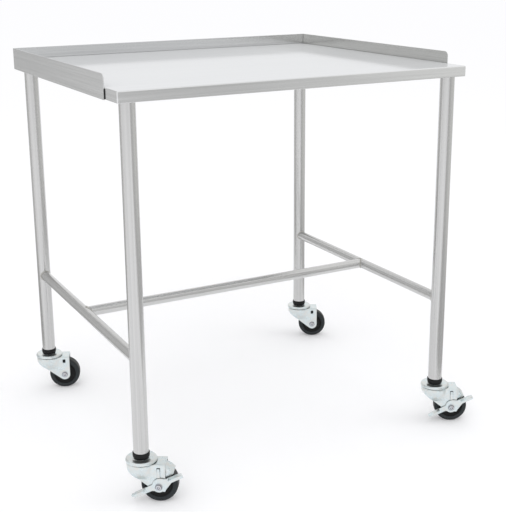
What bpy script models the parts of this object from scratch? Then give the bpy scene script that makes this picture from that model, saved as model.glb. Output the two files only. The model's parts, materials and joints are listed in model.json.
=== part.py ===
"""Mobile stainless instrument table on four swivel stem casters, the front two with side-lever brakes.

Metres, +Z up. The origin is on the floor under the middle of the worktop. +X is the user's right and
-Y is the open front edge. Each caster is built in its own frame: the stem stands at x = 0, the wheel
trails towards +x, and the axle runs along y at x = TRAIL.
"""
import math

import bmesh
import bpy
from mathutils import Matrix, Vector

# Overall sizes
TABLE_WIDTH = 0.806            # over the outer faces of the two side guards
TABLE_DEPTH = 0.688            # front apron face to back guard face
TABLE_HEIGHT = 0.864           # floor to the top edge of the guards, 34 in
SEAM = 0.0003                  # gap left at each welded or seated joint

# Worktop and guards
WORKTOP_SHEET = 0.0015
APRON_DROP = 0.0228            # height of the turned-down edge
APRON_LIP = 0.008              # return lip under the apron
APRON_BEND = 0.0030            # outer bend radius along the top edge
APRON_CORNER = 0.0022          # ground-off weld at the vertical corners
GUARD_SHEET = 0.0015
GUARD_RISE = 0.0256            # guard above the work surface
GUARD_HANG = 0.0012            # guard below the bottom of the apron
GUARD_SETBACK = 0.0645         # side guard ends this far behind the front edge
GUARD_CORNER = 0.0100          # rounded front top corner of a side guard

# Stiffening channels under the worktop
CHANNEL_SHEET = 0.0015
CHANNEL_DEPTH = 0.0160
CHANNEL_WEB = 0.0300
CHANNEL_FLANGE = 0.0140
CHANNEL_SPACING = 0.3400       # between the two channels
CHANNEL_END_GAP = 0.0060       # from the apron's inner face

# Legs and braces
LEG_DIAMETER = 0.0318          # 1 1/4 in tube
LEG_WALL = 0.0015
LEG_CLEAR_SIDE = 0.0048        # from the apron's return lip to the tube
LEG_CLEAR_FRONT = 0.0021
LEG_CLEAR_REAR = 0.0083
PLATE_MARGIN = 0.0066          # corner plate beyond the tube
PLATE_THICKNESS = 0.0030
PLATE_CORNER = 0.0050
BRACE_DIAMETER = 0.0236
BRACE_WALL = 0.0015
BRACE_HEIGHT = 0.3030          # axis of all three braces

# Caster stack, from the floor up
WHEEL_DIAMETER = 0.0762        # 3 in
WHEEL_WIDTH = 0.0285
TRAIL = 0.0375                 # axle behind the stem
CROWN_CLEARANCE = 0.0065       # top of the wheel to the underside of the fork's crown
BEARING_HEIGHT = 0.0048        # ball ring between fork and raceway cap
RACEWAY_OVERHANG = 0.0015      # raceway cap beyond the fork's bowl
RACEWAY_SHEET = 0.0022
RACEWAY_RIM_GAP = 0.0013       # between the cap's rim and the fork
RACEWAY_EDGE_BREAK = 0.0007    # rounding between the cap's top and its rim
RACEWAY_BOSS_DIAMETER = 0.0410
RACEWAY_BOSS_RISE = 0.0018
STEM_DIAMETER = 0.0095         # 3/8 in bolt
STEM_HEAD_DIAMETER = 0.0160
STEM_HEAD_HEIGHT = 0.0050
STEM_END = 0.0095              # bolt above its nut
COLLAR_MARGIN = 0.0011         # steel washer under the rubber, beyond the tube
COLLAR_THICKNESS = 0.0014
EXPANDER_RIM_MARGIN = 0.0017   # rubber rim beyond the tube
EXPANDER_RIM_HEIGHT = 0.0084
EXPANDER_LENGTH = 0.0380       # rubber inside the tube
EXPANDER_TAPER = 0.0010
STEM_NUT_DIAMETER = 0.0170
STEM_NUT_HEIGHT = 0.0080
STEM_NUT_WASHER_DIAMETER = 0.0240
STEM_NUT_WASHER_THICKNESS = 0.0018

# Fork
FORK_SHEET = 0.0028
FORK_BOWL_DIAMETER = 0.0620
FORK_BOWL_DEPTH = 0.0300       # height over which the bowl narrows to the legs
FORK_BOWL_LEVELS = 6
FORK_BOWL_FULLNESS = 4         # higher keeps the bowl wide for longer
FORK_BOWL_EASE = 1.5           # above 1, the bowl runs smoothly into the legs
FORK_BOWL_STEP = 0.0002        # least radius of the bowl beyond the legs' outer faces
FORK_BEND = 0.0045             # outer bend radius round the crown
FORK_TAIL = 0.0135             # leg end radius, and crown edge behind the axle
WINDOW_WIDTH = 0.0083
WINDOW_HEIGHT = 0.0105
WINDOW_BELOW_CROWN = 0.0035    # window's top below the underside of the crown

# Wheel and axle
TREAD_SHOULDER = 0.0042        # rounding at the tread's edges
RIM_WIDTH = 0.0065             # raised ring on the wheel's face
FACE_RECESS = 0.0028
HUB_WALL = 0.0062
HUB_PROUD = 0.0020             # hub beyond the tread's width, each side
HUB_CLEARANCE = 0.0020         # hub to the fork's inner face
BUSHING_WALL = 0.0022
AXLE_DIAMETER = 0.0080
AXLE_HEAD_DIAMETER = 0.0165
AXLE_HEAD_EDGE = 0.0015        # upright edge of the domed head
AXLE_HEAD_HEIGHT = 0.0042
AXLE_HEAD_SHOULDER = 0.0017    # dome's shoulder in from the edge
AXLE_HEAD_FLAT = 0.0033        # radius of the dome's flat top
AXLE_NUT_DIAMETER = 0.0150
AXLE_NUT_HEIGHT = 0.0065
AXLE_END = 0.0020              # bolt beyond the nut
RUNNING_GAP = 0.0003           # radial clearance round stem, bushing and axle

# Brake on the two front casters
LEVER_SHEET = 0.0025
LEVER_TILT = 26.0              # arms above the level, in degrees, as stored
LEVER_REACH = 0.0560           # pivot to pedal tip
LEVER_ARM_TOP = 0.0100         # arm's edges above and below the pivot
LEVER_ARM_BOTTOM = 0.0020
LEVER_HEEL = 0.0160            # corner of the plate below the pivot
LEVER_HEEL_ANGLE = 59.0        # heel below the arm, in degrees
LEVER_HEEL_ROUND = 0.0040
LEVER_WAIST = 0.0280           # where the plate narrows to the pedal arm
CAM_HIGH = 0.0196              # radius of the cam where it starts, and where it ends
CAM_LOW = 0.0160
CAM_START = 48.0               # degrees from the arm
CAM_END = 104.0
CAM_STEPS = 6
PEDAL_LENGTH = 0.0290
PEDAL_DEPTH = 0.0140
PEDAL_CORNER = 0.0046
SHOE_SHEET = 0.0016
SHOE_GAP = 0.0004              # shoe to tread at its tail with the brake on
SHOE_LIFT = 0.0016             # curve of the saddle above the axle, clear of the tread ahead of the fulcrum
SHOE_LEAD = 0.0009             # and ahead of it
SHOE_SIDE_GAP = 0.0013         # shoe to wheel face
SHOE_SKIRT = 0.0058            # side flange below the tread
SHOE_START = -9.0              # degrees behind the top of the wheel
SHOE_END = 50.0
SHOE_PLATE_START = 20.0        # side plate above the lever, between these angles
SHOE_PLATE_END = 47.0
SHOE_PLATE_RADIUS = 0.0355     # its upper edge, within the side flange
SHOE_PLATE_FOOT = 0.0150       # its lower edge above the axle, at the front
SHOE_PLATE_RISE = 0.0050       # and how much that edge rises to the rear
SHOE_PLATE_INSET = 0.0002      # plate within the flange's two faces
FOLLOWER_WIDTH = 0.0056
FOLLOWER_GAP = 0.0006
WINDOW_EASE = 0.0015           # shoe's ear below the window's top
FULCRUM_BEHIND_AXLE = 0.0105   # ridge that bears on the crown's tail
FULCRUM_WIDTH = 0.0040

# Round parts
LEG_SIDES = 24
BRACE_SIDES = 18
DISC_SIDES = 24
BALL_RING_SIDES = 20
BALL_SIDES = 5
BOWL_SIDES = 10
WHEEL_SIDES = 28
BOLT_SIDES = 12
HOLE_SIDES = 12
NUT_SIDES = 6

# Where each caster points, in degrees from +X about +Z, as the photograph shows them
CASTERS = {
    "front_left": {"side": -1, "end": -1, "turn": -32.0, "brake": True},
    "front_right": {"side": 1, "end": -1, "turn": -29.0, "brake": True},
    "rear_left": {"side": -1, "end": 1, "turn": -21.0, "brake": False},
    "rear_right": {"side": 1, "end": 1, "turn": -29.0, "brake": False},
}

# Derived heights and places
SURFACE = TABLE_HEIGHT - GUARD_RISE
UNDERSIDE = SURFACE - WORKTOP_SHEET
APRON_BOTTOM = SURFACE - APRON_DROP
PLATE_TOP = UNDERSIDE - SEAM
LEG_TOP = PLATE_TOP - PLATE_THICKNESS - SEAM
LEG_RADIUS = LEG_DIAMETER / 2
BRACE_RADIUS = BRACE_DIAMETER / 2
GUARD_STEP = GUARD_SHEET + SEAM
LEG_X = TABLE_WIDTH / 2 - GUARD_STEP - APRON_LIP - LEG_CLEAR_SIDE - LEG_RADIUS
LEG_FRONT_Y = -TABLE_DEPTH / 2 + APRON_LIP + LEG_CLEAR_FRONT + LEG_RADIUS
LEG_REAR_Y = TABLE_DEPTH / 2 - GUARD_STEP - APRON_LIP - LEG_CLEAR_REAR - LEG_RADIUS
WHEEL_RADIUS = WHEEL_DIAMETER / 2
AXLE_RADIUS = AXLE_DIAMETER / 2
BUSHING_RADIUS = AXLE_RADIUS + RUNNING_GAP + BUSHING_WALL
CROWN_UNDERSIDE = WHEEL_DIAMETER + CROWN_CLEARANCE
CROWN_TOP = CROWN_UNDERSIDE + FORK_SHEET
WINDOW_TOP = CROWN_UNDERSIDE - WINDOW_BELOW_CROWN
FORK_INNER = WHEEL_WIDTH / 2 + HUB_PROUD + HUB_CLEARANCE
FORK_OUTER = FORK_INNER + FORK_SHEET
RACEWAY_RADIUS = FORK_BOWL_DIAMETER / 2 + RACEWAY_OVERHANG
RACEWAY_UNDERSIDE = CROWN_TOP + BEARING_HEIGHT
RACEWAY_TOP = RACEWAY_UNDERSIDE + RACEWAY_SHEET
BOSS_TOP = RACEWAY_TOP + RACEWAY_BOSS_RISE
COLLAR_BOTTOM = BOSS_TOP + SEAM
COLLAR_TOP = COLLAR_BOTTOM + COLLAR_THICKNESS
RUBBER_BOTTOM = COLLAR_TOP + SEAM
RUBBER_RIM_TOP = RUBBER_BOTTOM + EXPANDER_RIM_HEIGHT
LEG_END = RUBBER_RIM_TOP + SEAM
RUBBER_TOP = LEG_END + EXPANDER_LENGTH
STEM_RADIUS = STEM_DIAMETER / 2
SHOE_PIVOT = (FULCRUM_BEHIND_AXLE, CROWN_UNDERSIDE - SEAM - WHEEL_RADIUS)

STAINLESS = ("stainless_satin", (0.62, 0.63, 0.64), 1.0, 0.34)
ZINC = ("zinc_plate", (0.72, 0.77, 0.77), 1.0, 0.28)
HARD_RUBBER = ("hard_rubber", (0.018, 0.022, 0.024), 0.0, 0.45)
SOFT_RUBBER = ("soft_rubber", (0.012, 0.012, 0.013), 0.0, 0.70)
STEEL = ("plain_steel", (0.50, 0.50, 0.50), 1.0, 0.40)


# Outline planes: each matrix takes (u, v, w) to the part, w being the direction of extrusion
SIDE_VIEW = Matrix(((1, 0, 0, 0), (0, 0, -1, 0), (0, 1, 0, 0), (0, 0, 0, 1)))
END_VIEW = Matrix(((0, 0, 1, 0), (1, 0, 0, 0), (0, 1, 0, 0), (0, 0, 0, 1)))
ALONG_Y = Matrix.Rotation(math.radians(90), 4, "X")


def clear_scene():
    for old in list(bpy.data.objects):
        bpy.data.objects.remove(old, do_unlink=True)


def material(finish):
    """Principled material for one finish, made once."""
    name, colour, metallic, roughness = finish
    made = bpy.data.materials.get(name)
    if made is None:
        made = bpy.data.materials.new(name)
        made.use_nodes = True
        shader = made.node_tree.nodes["Principled BSDF"]
        shader.inputs["Base Color"].default_value = (*colour, 1.0)
        shader.inputs["Metallic"].default_value = metallic
        shader.inputs["Roughness"].default_value = roughness
    return made


def empty(name, location, parent=None, turn=0.0):
    """Marker on a joint's axis, which carries the pieces that move with it."""
    marker = bpy.data.objects.new(name, None)
    marker.location = location
    marker.rotation_euler = (0.0, 0.0, turn)
    marker.parent = parent
    bpy.context.collection.objects.link(marker)
    return marker


def place(name, mesh, finish, location=(0.0, 0.0, 0.0), parent=None):
    """One named piece with its own finish."""
    piece = bpy.data.objects.new(name, mesh)
    piece.location = location
    piece.parent = parent
    if not mesh.materials:
        mesh.materials.append(material(finish))
    bpy.context.collection.objects.link(piece)
    return piece


def mesh_from(bm, name, smooth_below=35.0):
    """Mesh with outward normals, smooth where faces meet at less than the given angle."""
    bmesh.ops.recalc_face_normals(bm, faces=bm.faces)
    mesh = bpy.data.meshes.new(name)
    bm.to_mesh(mesh)
    bm.free()
    mesh.shade_smooth()
    mesh.set_sharp_from_angle(angle=math.radians(smooth_below))
    return mesh


def loft(name, loops, closed=False, axes=None):
    """Skin equal loops in order. A closed loft joins its last loop to its first, as a ring with a bore."""
    bm = bmesh.new()
    rings = [[bm.verts.new(point) for point in loop] for loop in loops]
    pairs = list(zip(rings, rings[1:]))
    if closed:
        pairs.append((rings[-1], rings[0]))
    else:
        bm.faces.new(rings[0])
        bm.faces.new(rings[-1])
    for lower, upper in pairs:
        count = len(lower)
        for i in range(count):
            j = (i + 1) % count
            bm.faces.new((lower[i], lower[j], upper[j], upper[i]))
    if axes is not None:
        bmesh.ops.transform(bm, matrix=axes, verts=bm.verts)
    return mesh_from(bm, name)


def circle(radius, height, sides, phase=0.0):
    """Loop of points round the Z axis."""
    angles = [2 * math.pi * (i + phase) / sides for i in range(sides)]
    return [Vector((radius * math.cos(a), radius * math.sin(a), height)) for a in angles]


def turned(name, profile, sides, bored=False, axes=None, phase=0.0):
    """Turn a profile of (radius, height) points about the Z axis."""
    return loft(name, [circle(r, z, sides, phase) for r, z in profile], bored, axes)


def arc(centre, radius, start, end, steps):
    """Points on an arc in the plane, angles in degrees."""
    angles = [math.radians(start + (end - start) * i / steps) for i in range(steps + 1)]
    return [(centre[0] + radius * math.cos(a), centre[1] + radius * math.sin(a)) for a in angles]


def prism(name, outline, low, high, axes):
    """Straight extrusion of a flat outline, whose own plane and direction the axes matrix gives."""
    loops = [[Vector((u, v, w)) for u, v in outline] for w in (low, high)]
    return loft(name, loops, axes=axes)


def carved(name, base, steps):
    """Mesh of the base after each (operation, tool mesh) in turn."""
    helpers = [bpy.data.objects.new(name + "_base", base)]
    for operation, tool in steps:
        helper = bpy.data.objects.new(name + "_tool", tool)
        cut = helpers[0].modifiers.new("cut", "BOOLEAN")
        cut.operation = operation
        cut.object = helper
        helpers.append(helper)
    for helper in helpers:
        bpy.context.collection.objects.link(helper)
    graph = bpy.context.evaluated_depsgraph_get()
    mesh = bpy.data.meshes.new_from_object(helpers[0].evaluated_get(graph))
    mesh.name = name
    for helper in helpers:
        bpy.data.objects.remove(helper, do_unlink=True)
    bm = bmesh.new()
    bm.from_mesh(mesh)
    bmesh.ops.remove_doubles(bm, verts=bm.verts, dist=0.000005)
    bmesh.ops.dissolve_limit(bm, angle_limit=math.radians(0.5), verts=bm.verts, edges=bm.edges)
    return mesh_from(bm, name)


def rounded_rectangle(half_x, half_y, radius, height, steps=3):
    """Loop round a rectangle with rounded corners."""
    points = []
    corners = ((1, 1, 0), (-1, 1, 90), (-1, -1, 180), (1, -1, 270))
    for side_x, side_y, start in corners:
        centre = (side_x * (half_x - radius), side_y * (half_y - radius))
        points += [Vector((x, y, height)) for x, y in arc(centre, radius, start, start + 90, steps)]
    return points


def bend_steps(radius, count=3):
    """Inset and drop along a quarter bend, from the flat to the turned-down wall."""
    angles = [math.pi / 2 * i / count for i in range(count + 1)]
    return [(radius * (1 - math.sin(a)), radius * (1 - math.cos(a))) for a in angles]


def add_worktop():
    """Sheet pan: flat top, aprons turned down on four sides, and a return lip under them."""
    half_x = TABLE_WIDTH / 2 - GUARD_STEP
    front_y = -TABLE_DEPTH / 2
    back_y = TABLE_DEPTH / 2 - GUARD_STEP
    half_y = (back_y - front_y) / 2
    path = [(inset, SURFACE - drop) for inset, drop in bend_steps(APRON_BEND)]
    path += [(0.0, APRON_BOTTOM), (APRON_LIP, APRON_BOTTOM), (APRON_LIP, APRON_BOTTOM + WORKTOP_SHEET)]
    path += [(WORKTOP_SHEET, APRON_BOTTOM + WORKTOP_SHEET), (WORKTOP_SHEET, UNDERSIDE)]
    loops = []
    for inset, height in path:
        corner = max(APRON_CORNER - inset, APRON_CORNER / 5)
        loops.append(rounded_rectangle(half_x - inset, half_y - inset, corner, height, 2))
    place("worktop", loft("worktop", loops), STAINLESS, (0.0, (front_y + back_y) / 2, 0.0))


def add_guards():
    """Flat strips that cover the aprons at the back and sides and stand above the work surface."""
    top = TABLE_HEIGHT
    bottom = APRON_BOTTOM - GUARD_HANG
    front = -TABLE_DEPTH / 2 + GUARD_SETBACK
    back = TABLE_DEPTH / 2
    nose = arc((front + GUARD_CORNER, top - GUARD_CORNER), GUARD_CORNER, 180, 90, 5)
    side_outline = [(front, bottom)] + nose + [(back, top), (back, bottom)]
    for name, side in (("left_guard", -1), ("right_guard", 1)):
        outer = side * TABLE_WIDTH / 2
        inner = outer - side * GUARD_SHEET
        place(name, prism(name, side_outline, inner, outer, END_VIEW), STAINLESS)
    reach = TABLE_WIDTH / 2 - GUARD_STEP
    back_outline = [(-reach, bottom), (reach, bottom), (reach, top), (-reach, top)]
    mesh = prism("back_guard", back_outline, -back, -back + GUARD_SHEET, SIDE_VIEW)
    place("back_guard", mesh, STAINLESS)


def add_channels():
    """Two hat-section channels welded under the worktop."""
    web = CHANNEL_WEB / 2
    flange = web + CHANNEL_FLANGE
    top = UNDERSIDE - SEAM
    low = top - CHANNEL_DEPTH
    sheet = CHANNEL_SHEET
    half = [(web - sheet, low + sheet), (web - sheet, top), (flange, top), (flange, top - sheet)]
    half += [(web, top - sheet), (web, low)]
    outline = half + [(-u, v) for u, v in reversed(half)]
    reach = TABLE_WIDTH / 2 - GUARD_STEP - WORKTOP_SHEET - CHANNEL_END_GAP
    for name, place_y in (("front_channel", -CHANNEL_SPACING / 2), ("rear_channel", CHANNEL_SPACING / 2)):
        mesh = prism(name, outline, -reach, reach, END_VIEW)
        place(name, mesh, STAINLESS, (0.0, place_y, 0.0))


def leg_place(caster):
    return (caster["side"] * LEG_X, LEG_FRONT_Y if caster["end"] < 0 else LEG_REAR_Y)


def add_legs():
    """Four open tubes, each under a welded corner plate."""
    outer = LEG_RADIUS
    inner = LEG_RADIUS - LEG_WALL
    profile = [(outer, LEG_END), (outer, LEG_TOP), (inner, LEG_TOP), (inner, LEG_END)]
    tube = turned("leg", profile, LEG_SIDES, bored=True)
    half = LEG_RADIUS + PLATE_MARGIN
    heights = (PLATE_TOP - PLATE_THICKNESS, PLATE_TOP)
    plate = loft("leg_plate", [rounded_rectangle(half, half, PLATE_CORNER, z) for z in heights])
    for name, caster in CASTERS.items():
        x, y = leg_place(caster)
        place(name + "_leg", tube, STAINLESS, (x, y, 0.0))
        place(name + "_leg_plate", plate, STAINLESS, (x, y, 0.0))


def coped_tube(name, start, end, seat_axis, seat_radius):
    """Tube between the axes of two round members, each end saddle-cut to sit against its member."""
    along = (end - start).normalized()
    across = along.cross(seat_axis)
    loops = []
    for radius, order in ((BRACE_RADIUS, (start, end)), (BRACE_RADIUS - BRACE_WALL, (end, start))):
        for centre in order:
            inward = along if centre == start else -along
            loop = []
            for point in circle(radius, 0.0, BRACE_SIDES):
                saddle = math.sqrt((seat_radius + SEAM) ** 2 - point.x ** 2)
                loop.append(centre + across * point.x + seat_axis * point.y + inward * saddle)
            loops.append(loop)
    return loft(name, loops, closed=True)


def add_braces():
    """Low H-brace: a side tube between each pair of legs and a cross tube between their middles."""
    for name, x in (("left_brace", -LEG_X), ("right_brace", LEG_X)):
        front = Vector((x, LEG_FRONT_Y, BRACE_HEIGHT))
        rear = Vector((x, LEG_REAR_Y, BRACE_HEIGHT))
        place(name, coped_tube(name, front, rear, Vector((0, 0, 1)), LEG_RADIUS), STAINLESS)
    left = Vector((-LEG_X, (LEG_FRONT_Y + LEG_REAR_Y) / 2, BRACE_HEIGHT))
    right = Vector((LEG_X, left.y, BRACE_HEIGHT))
    place("cross_brace", coped_tube("cross_brace", left, right, Vector((0, 1, 0)), BRACE_RADIUS), STAINLESS)


def expander_mesh():
    """Rubber sleeve that grips the inside of the tube, with a rim that shows below it."""
    bore = STEM_RADIUS + RUNNING_GAP
    sleeve = LEG_RADIUS - LEG_WALL - SEAM
    rim = LEG_RADIUS + EXPANDER_RIM_MARGIN
    profile = [
        (bore, RUBBER_BOTTOM),
        (rim - EXPANDER_TAPER, RUBBER_BOTTOM),
        (rim, RUBBER_BOTTOM + 2 * EXPANDER_TAPER),
        (rim, RUBBER_RIM_TOP),
        (sleeve, RUBBER_RIM_TOP),
        (sleeve, RUBBER_TOP),
        (bore, RUBBER_TOP),
    ]
    return turned("expander", profile, LEG_SIDES, bored=True)


def stem_mesh():
    """King bolt: head under the fork, collar washer under the rubber, washer and nut above it."""
    head = STEM_HEAD_DIAMETER / 2
    collar = LEG_RADIUS + COLLAR_MARGIN
    washer = STEM_NUT_WASHER_DIAMETER / 2
    nut = STEM_NUT_DIAMETER / 2
    head_top = CROWN_UNDERSIDE - SEAM
    washer_bottom = RUBBER_TOP + SEAM
    washer_top = washer_bottom + STEM_NUT_WASHER_THICKNESS
    nut_top = washer_top + STEM_NUT_HEIGHT
    profile = [
        (head, head_top - STEM_HEAD_HEIGHT),
        (head, head_top),
        (STEM_RADIUS, head_top),
        (STEM_RADIUS, COLLAR_BOTTOM),
        (collar, COLLAR_BOTTOM),
        (collar, COLLAR_TOP),
        (STEM_RADIUS, COLLAR_TOP),
        (STEM_RADIUS, washer_bottom),
        (washer, washer_bottom),
        (washer, washer_top),
        (nut, washer_top),
        (nut, nut_top),
        (STEM_RADIUS, nut_top),
        (STEM_RADIUS, nut_top + STEM_END),
    ]
    return turned("stem", profile, BOLT_SIDES)


def raceway_mesh():
    """Pressed cap with a raised boss and a rim turned down over the ball ring."""
    bore = STEM_RADIUS + RUNNING_GAP
    outer = RACEWAY_RADIUS
    boss = RACEWAY_BOSS_DIAMETER / 2
    rim_bottom = CROWN_TOP + RACEWAY_RIM_GAP
    broken = RACEWAY_EDGE_BREAK
    profile = [
        (bore, BOSS_TOP),
        (boss - RACEWAY_BOSS_RISE, BOSS_TOP),
        (boss, RACEWAY_TOP),
        (outer - 3 * broken, RACEWAY_TOP),
        (outer - broken, RACEWAY_TOP - broken),
        (outer, RACEWAY_TOP - 3 * broken),
        (outer, rim_bottom),
        (outer - RACEWAY_SHEET, rim_bottom),
        (outer - RACEWAY_SHEET, RACEWAY_UNDERSIDE),
        (boss - 2 * RACEWAY_BOSS_RISE, RACEWAY_UNDERSIDE),
        (bore, RACEWAY_UNDERSIDE + RACEWAY_BOSS_RISE),
    ]
    return turned("raceway_cap", profile, DISC_SIDES, bored=True)


def bearing_mesh():
    """Ring of swivel balls in their cage, as one ring of rounded section."""
    middle = (CROWN_TOP + RACEWAY_UNDERSIDE) / 2
    half = (RACEWAY_UNDERSIDE - CROWN_TOP) / 2 - SEAM
    track = RACEWAY_RADIUS - RACEWAY_SHEET - half - 3 * RUNNING_GAP
    profile = [(track + r, middle + z) for r, z in arc((0.0, 0.0), half, 90, 450, BALL_SIDES)[:-1]]
    return turned("swivel_bearing", profile, BALL_RING_SIDES, bored=True)


def bowl_outline(inset, height):
    """Level section of the fork: a round bowl about the stem, narrowing downwards, and two straight legs."""
    depth = min((CROWN_TOP - height) / FORK_BOWL_DEPTH, 1.0)
    narrow = FORK_OUTER + FORK_BOWL_STEP
    share = (1 - depth ** FORK_BOWL_FULLNESS) ** FORK_BOWL_EASE
    bowl = narrow + (FORK_BOWL_DIAMETER / 2 - narrow) * share - inset
    half = FORK_OUTER - inset
    meet = math.degrees(math.asin(half / bowl))
    tail = TRAIL + 3 * FORK_TAIL - inset
    points = arc((0.0, 0.0), bowl, meet, 360 - meet, BOWL_SIDES)
    points += [(tail, -half), (tail, half)]
    return [Vector((x, y, height)) for x, y in points]


def fork_side_outline():
    """Fork seen from the side: level crown, upright tail, round axle end, and a slanting front edge."""
    tail = TRAIL + FORK_TAIL
    above = CROWN_TOP + FORK_TAIL
    bowl = FORK_BOWL_DIAMETER / 2
    lip = Vector((-bowl - FORK_BEND, CROWN_UNDERSIDE - FORK_BEND))
    axle = Vector((TRAIL, WHEEL_RADIUS))
    reach = lip - axle
    bearing = math.degrees(math.atan2(reach.y, reach.x))
    tangent = bearing + math.degrees(math.acos(FORK_TAIL / reach.length))
    end = arc((axle.x, axle.y), FORK_TAIL, 360, tangent, 9)
    return [(tail, above)] + end + [(lip.x, lip.y), (lip.x, above)]


def hole_through_sides(name, x, z, radius):
    """Round cutter along y through both fork legs."""
    axes = Matrix.Translation((x, 0.0, z)) @ ALONG_Y
    return turned(name, [(radius, -2 * FORK_OUTER), (radius, 2 * FORK_OUTER)], HOLE_SIDES, axes=axes)


def fork_mesh():
    """Stamped fork: one sheet drawn to a bowl round the stem, with two legs down to the axle."""
    path = [(inset, CROWN_TOP - drop) for inset, drop in bend_steps(FORK_BEND)]
    levels = [CROWN_TOP - FORK_BOWL_DEPTH * (i + 1) / FORK_BOWL_LEVELS for i in range(FORK_BOWL_LEVELS)]
    path += [(0.0, z) for z in levels + [0.0]]
    inner = [(FORK_SHEET, z) for z in [0.0] + levels[::-1]]
    for inset, drop in reversed(bend_steps(FORK_BEND - FORK_SHEET, 2)):
        inner.append((FORK_SHEET + inset, CROWN_UNDERSIDE - drop))
    blank = loft("fork_blank", [bowl_outline(inset, z) for inset, z in path + inner])
    side = prism("fork_side", fork_side_outline(), -FORK_BOWL_DIAMETER, FORK_BOWL_DIAMETER, SIDE_VIEW)
    king_hole = STEM_RADIUS + RUNNING_GAP
    king_profile = [(king_hole, CROWN_UNDERSIDE - FORK_SHEET), (king_hole, CROWN_TOP + FORK_SHEET)]
    king = turned("king_hole", king_profile, HOLE_SIDES)
    axle = hole_through_sides("axle_hole", TRAIL, WHEEL_RADIUS, AXLE_RADIUS + RUNNING_GAP)
    left = TRAIL - WINDOW_WIDTH / 2
    right = TRAIL + WINDOW_WIDTH / 2
    low = WINDOW_TOP - WINDOW_HEIGHT
    corners = [(left, low), (right, low), (right, WINDOW_TOP), (left, WINDOW_TOP)]
    window = prism("fork_window", corners, -2 * FORK_OUTER, 2 * FORK_OUTER, SIDE_VIEW)
    steps = [("INTERSECT", side), ("DIFFERENCE", king), ("DIFFERENCE", axle), ("DIFFERENCE", window)]
    return carved("fork", blank, steps)


def wheel_mesh():
    """Hard rubber wheel: rounded tread, raised rim ring, recessed face and a proud hub, about its axle."""
    flat_side = 1 / math.cos(math.pi / WHEEL_SIDES)
    tread = WHEEL_RADIUS * flat_side
    half = WHEEL_WIDTH / 2
    bore = BUSHING_RADIUS + RUNNING_GAP
    hub = bore + HUB_WALL
    shoulder = arc((tread - TREAD_SHOULDER, half - TREAD_SHOULDER), TREAD_SHOULDER, 90, 0, 2)
    rim_inner = tread - TREAD_SHOULDER - RIM_WIDTH
    face = half - FACE_RECESS
    upper = [(bore, half + HUB_PROUD), (hub, half + HUB_PROUD), (hub + HUB_PROUD, face)]
    upper += [(rim_inner - FACE_RECESS, face), (rim_inner, half)] + shoulder
    lower = [(r, -z) for r, z in reversed(upper)]
    return turned("wheel", upper + lower, WHEEL_SIDES, bored=True, axes=ALONG_Y, phase=0.5)


def bushing_mesh():
    """Steel sleeve clamped between the fork legs, which the wheel turns on."""
    half = FORK_INNER - SEAM
    outer = BUSHING_RADIUS
    bore = AXLE_RADIUS + RUNNING_GAP
    profile = [(outer, half), (outer, -half), (bore, -half), (bore, half)]
    return turned("wheel_bushing", profile, BOLT_SIDES, bored=True, axes=ALONG_Y)


def axle_seat(brake):
    """Distance from the middle of the wheel to the underside of the axle bolt's head."""
    seat = FORK_OUTER + SEAM
    return seat + LEVER_SHEET + SEAM if brake else seat


def axle_bolt_mesh(brake):
    """Bolt with a domed head on the outer side, which points towards -y."""
    seat = axle_seat(brake)
    head = AXLE_HEAD_DIAMETER / 2
    top = seat + AXLE_HEAD_HEIGHT
    far = FORK_OUTER + SEAM + AXLE_NUT_HEIGHT + AXLE_END
    profile = [(AXLE_RADIUS, -far), (AXLE_RADIUS, seat), (head, seat), (head, seat + AXLE_HEAD_EDGE)]
    profile += [(head - AXLE_HEAD_SHOULDER, top - AXLE_HEAD_EDGE / 2), (AXLE_HEAD_FLAT, top)]
    return turned("axle_bolt", profile, BOLT_SIDES, axes=ALONG_Y)


def axle_nut_mesh():
    """Hexagon nut on the far side, its bore's flats clear of the bolt."""
    near = -FORK_OUTER - SEAM
    far = near - AXLE_NUT_HEIGHT
    corner = AXLE_NUT_DIAMETER / 2
    bore = (AXLE_RADIUS + RUNNING_GAP) / math.cos(math.pi / NUT_SIDES)
    profile = [(corner, near), (bore, near), (bore, far), (corner, far)]
    return turned("axle_nut", profile, NUT_SIDES, bored=True, axes=ALONG_Y)


def cam_radius(angle):
    """Radius of the lever's cam at an angle from the arm, falling as the lever is released."""
    return CAM_HIGH + (CAM_LOW - CAM_HIGH) * (angle - CAM_START) / (CAM_END - CAM_START)


def lever_outline():
    """Brake lever seen from the side, arms along u: rounded heel below the pivot, two arms, cam above."""
    low = -LEVER_ARM_BOTTOM
    top = LEVER_ARM_TOP
    down = math.radians(-LEVER_HEEL_ANGLE)
    reach = LEVER_HEEL - LEVER_HEEL_ROUND
    heel = (reach * math.cos(down), reach * math.sin(down))
    outline = [(-LEVER_REACH, low), (-LEVER_HEEL, low)]
    outline += arc(heel, LEVER_HEEL_ROUND, -30 - LEVER_HEEL_ANGLE, 30 - LEVER_HEEL_ANGLE, 4)
    outline += [(LEVER_WAIST, low), (LEVER_REACH, low), (LEVER_REACH, top), (CAM_HIGH, top)]
    for i in range(CAM_STEPS + 1):
        angle = CAM_START + (CAM_END - CAM_START) * i / CAM_STEPS
        turn = math.radians(angle)
        outline.append((cam_radius(angle) * math.cos(turn), cam_radius(angle) * math.sin(turn)))
    return outline + [(-top, top), (-LEVER_REACH, top)]


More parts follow.
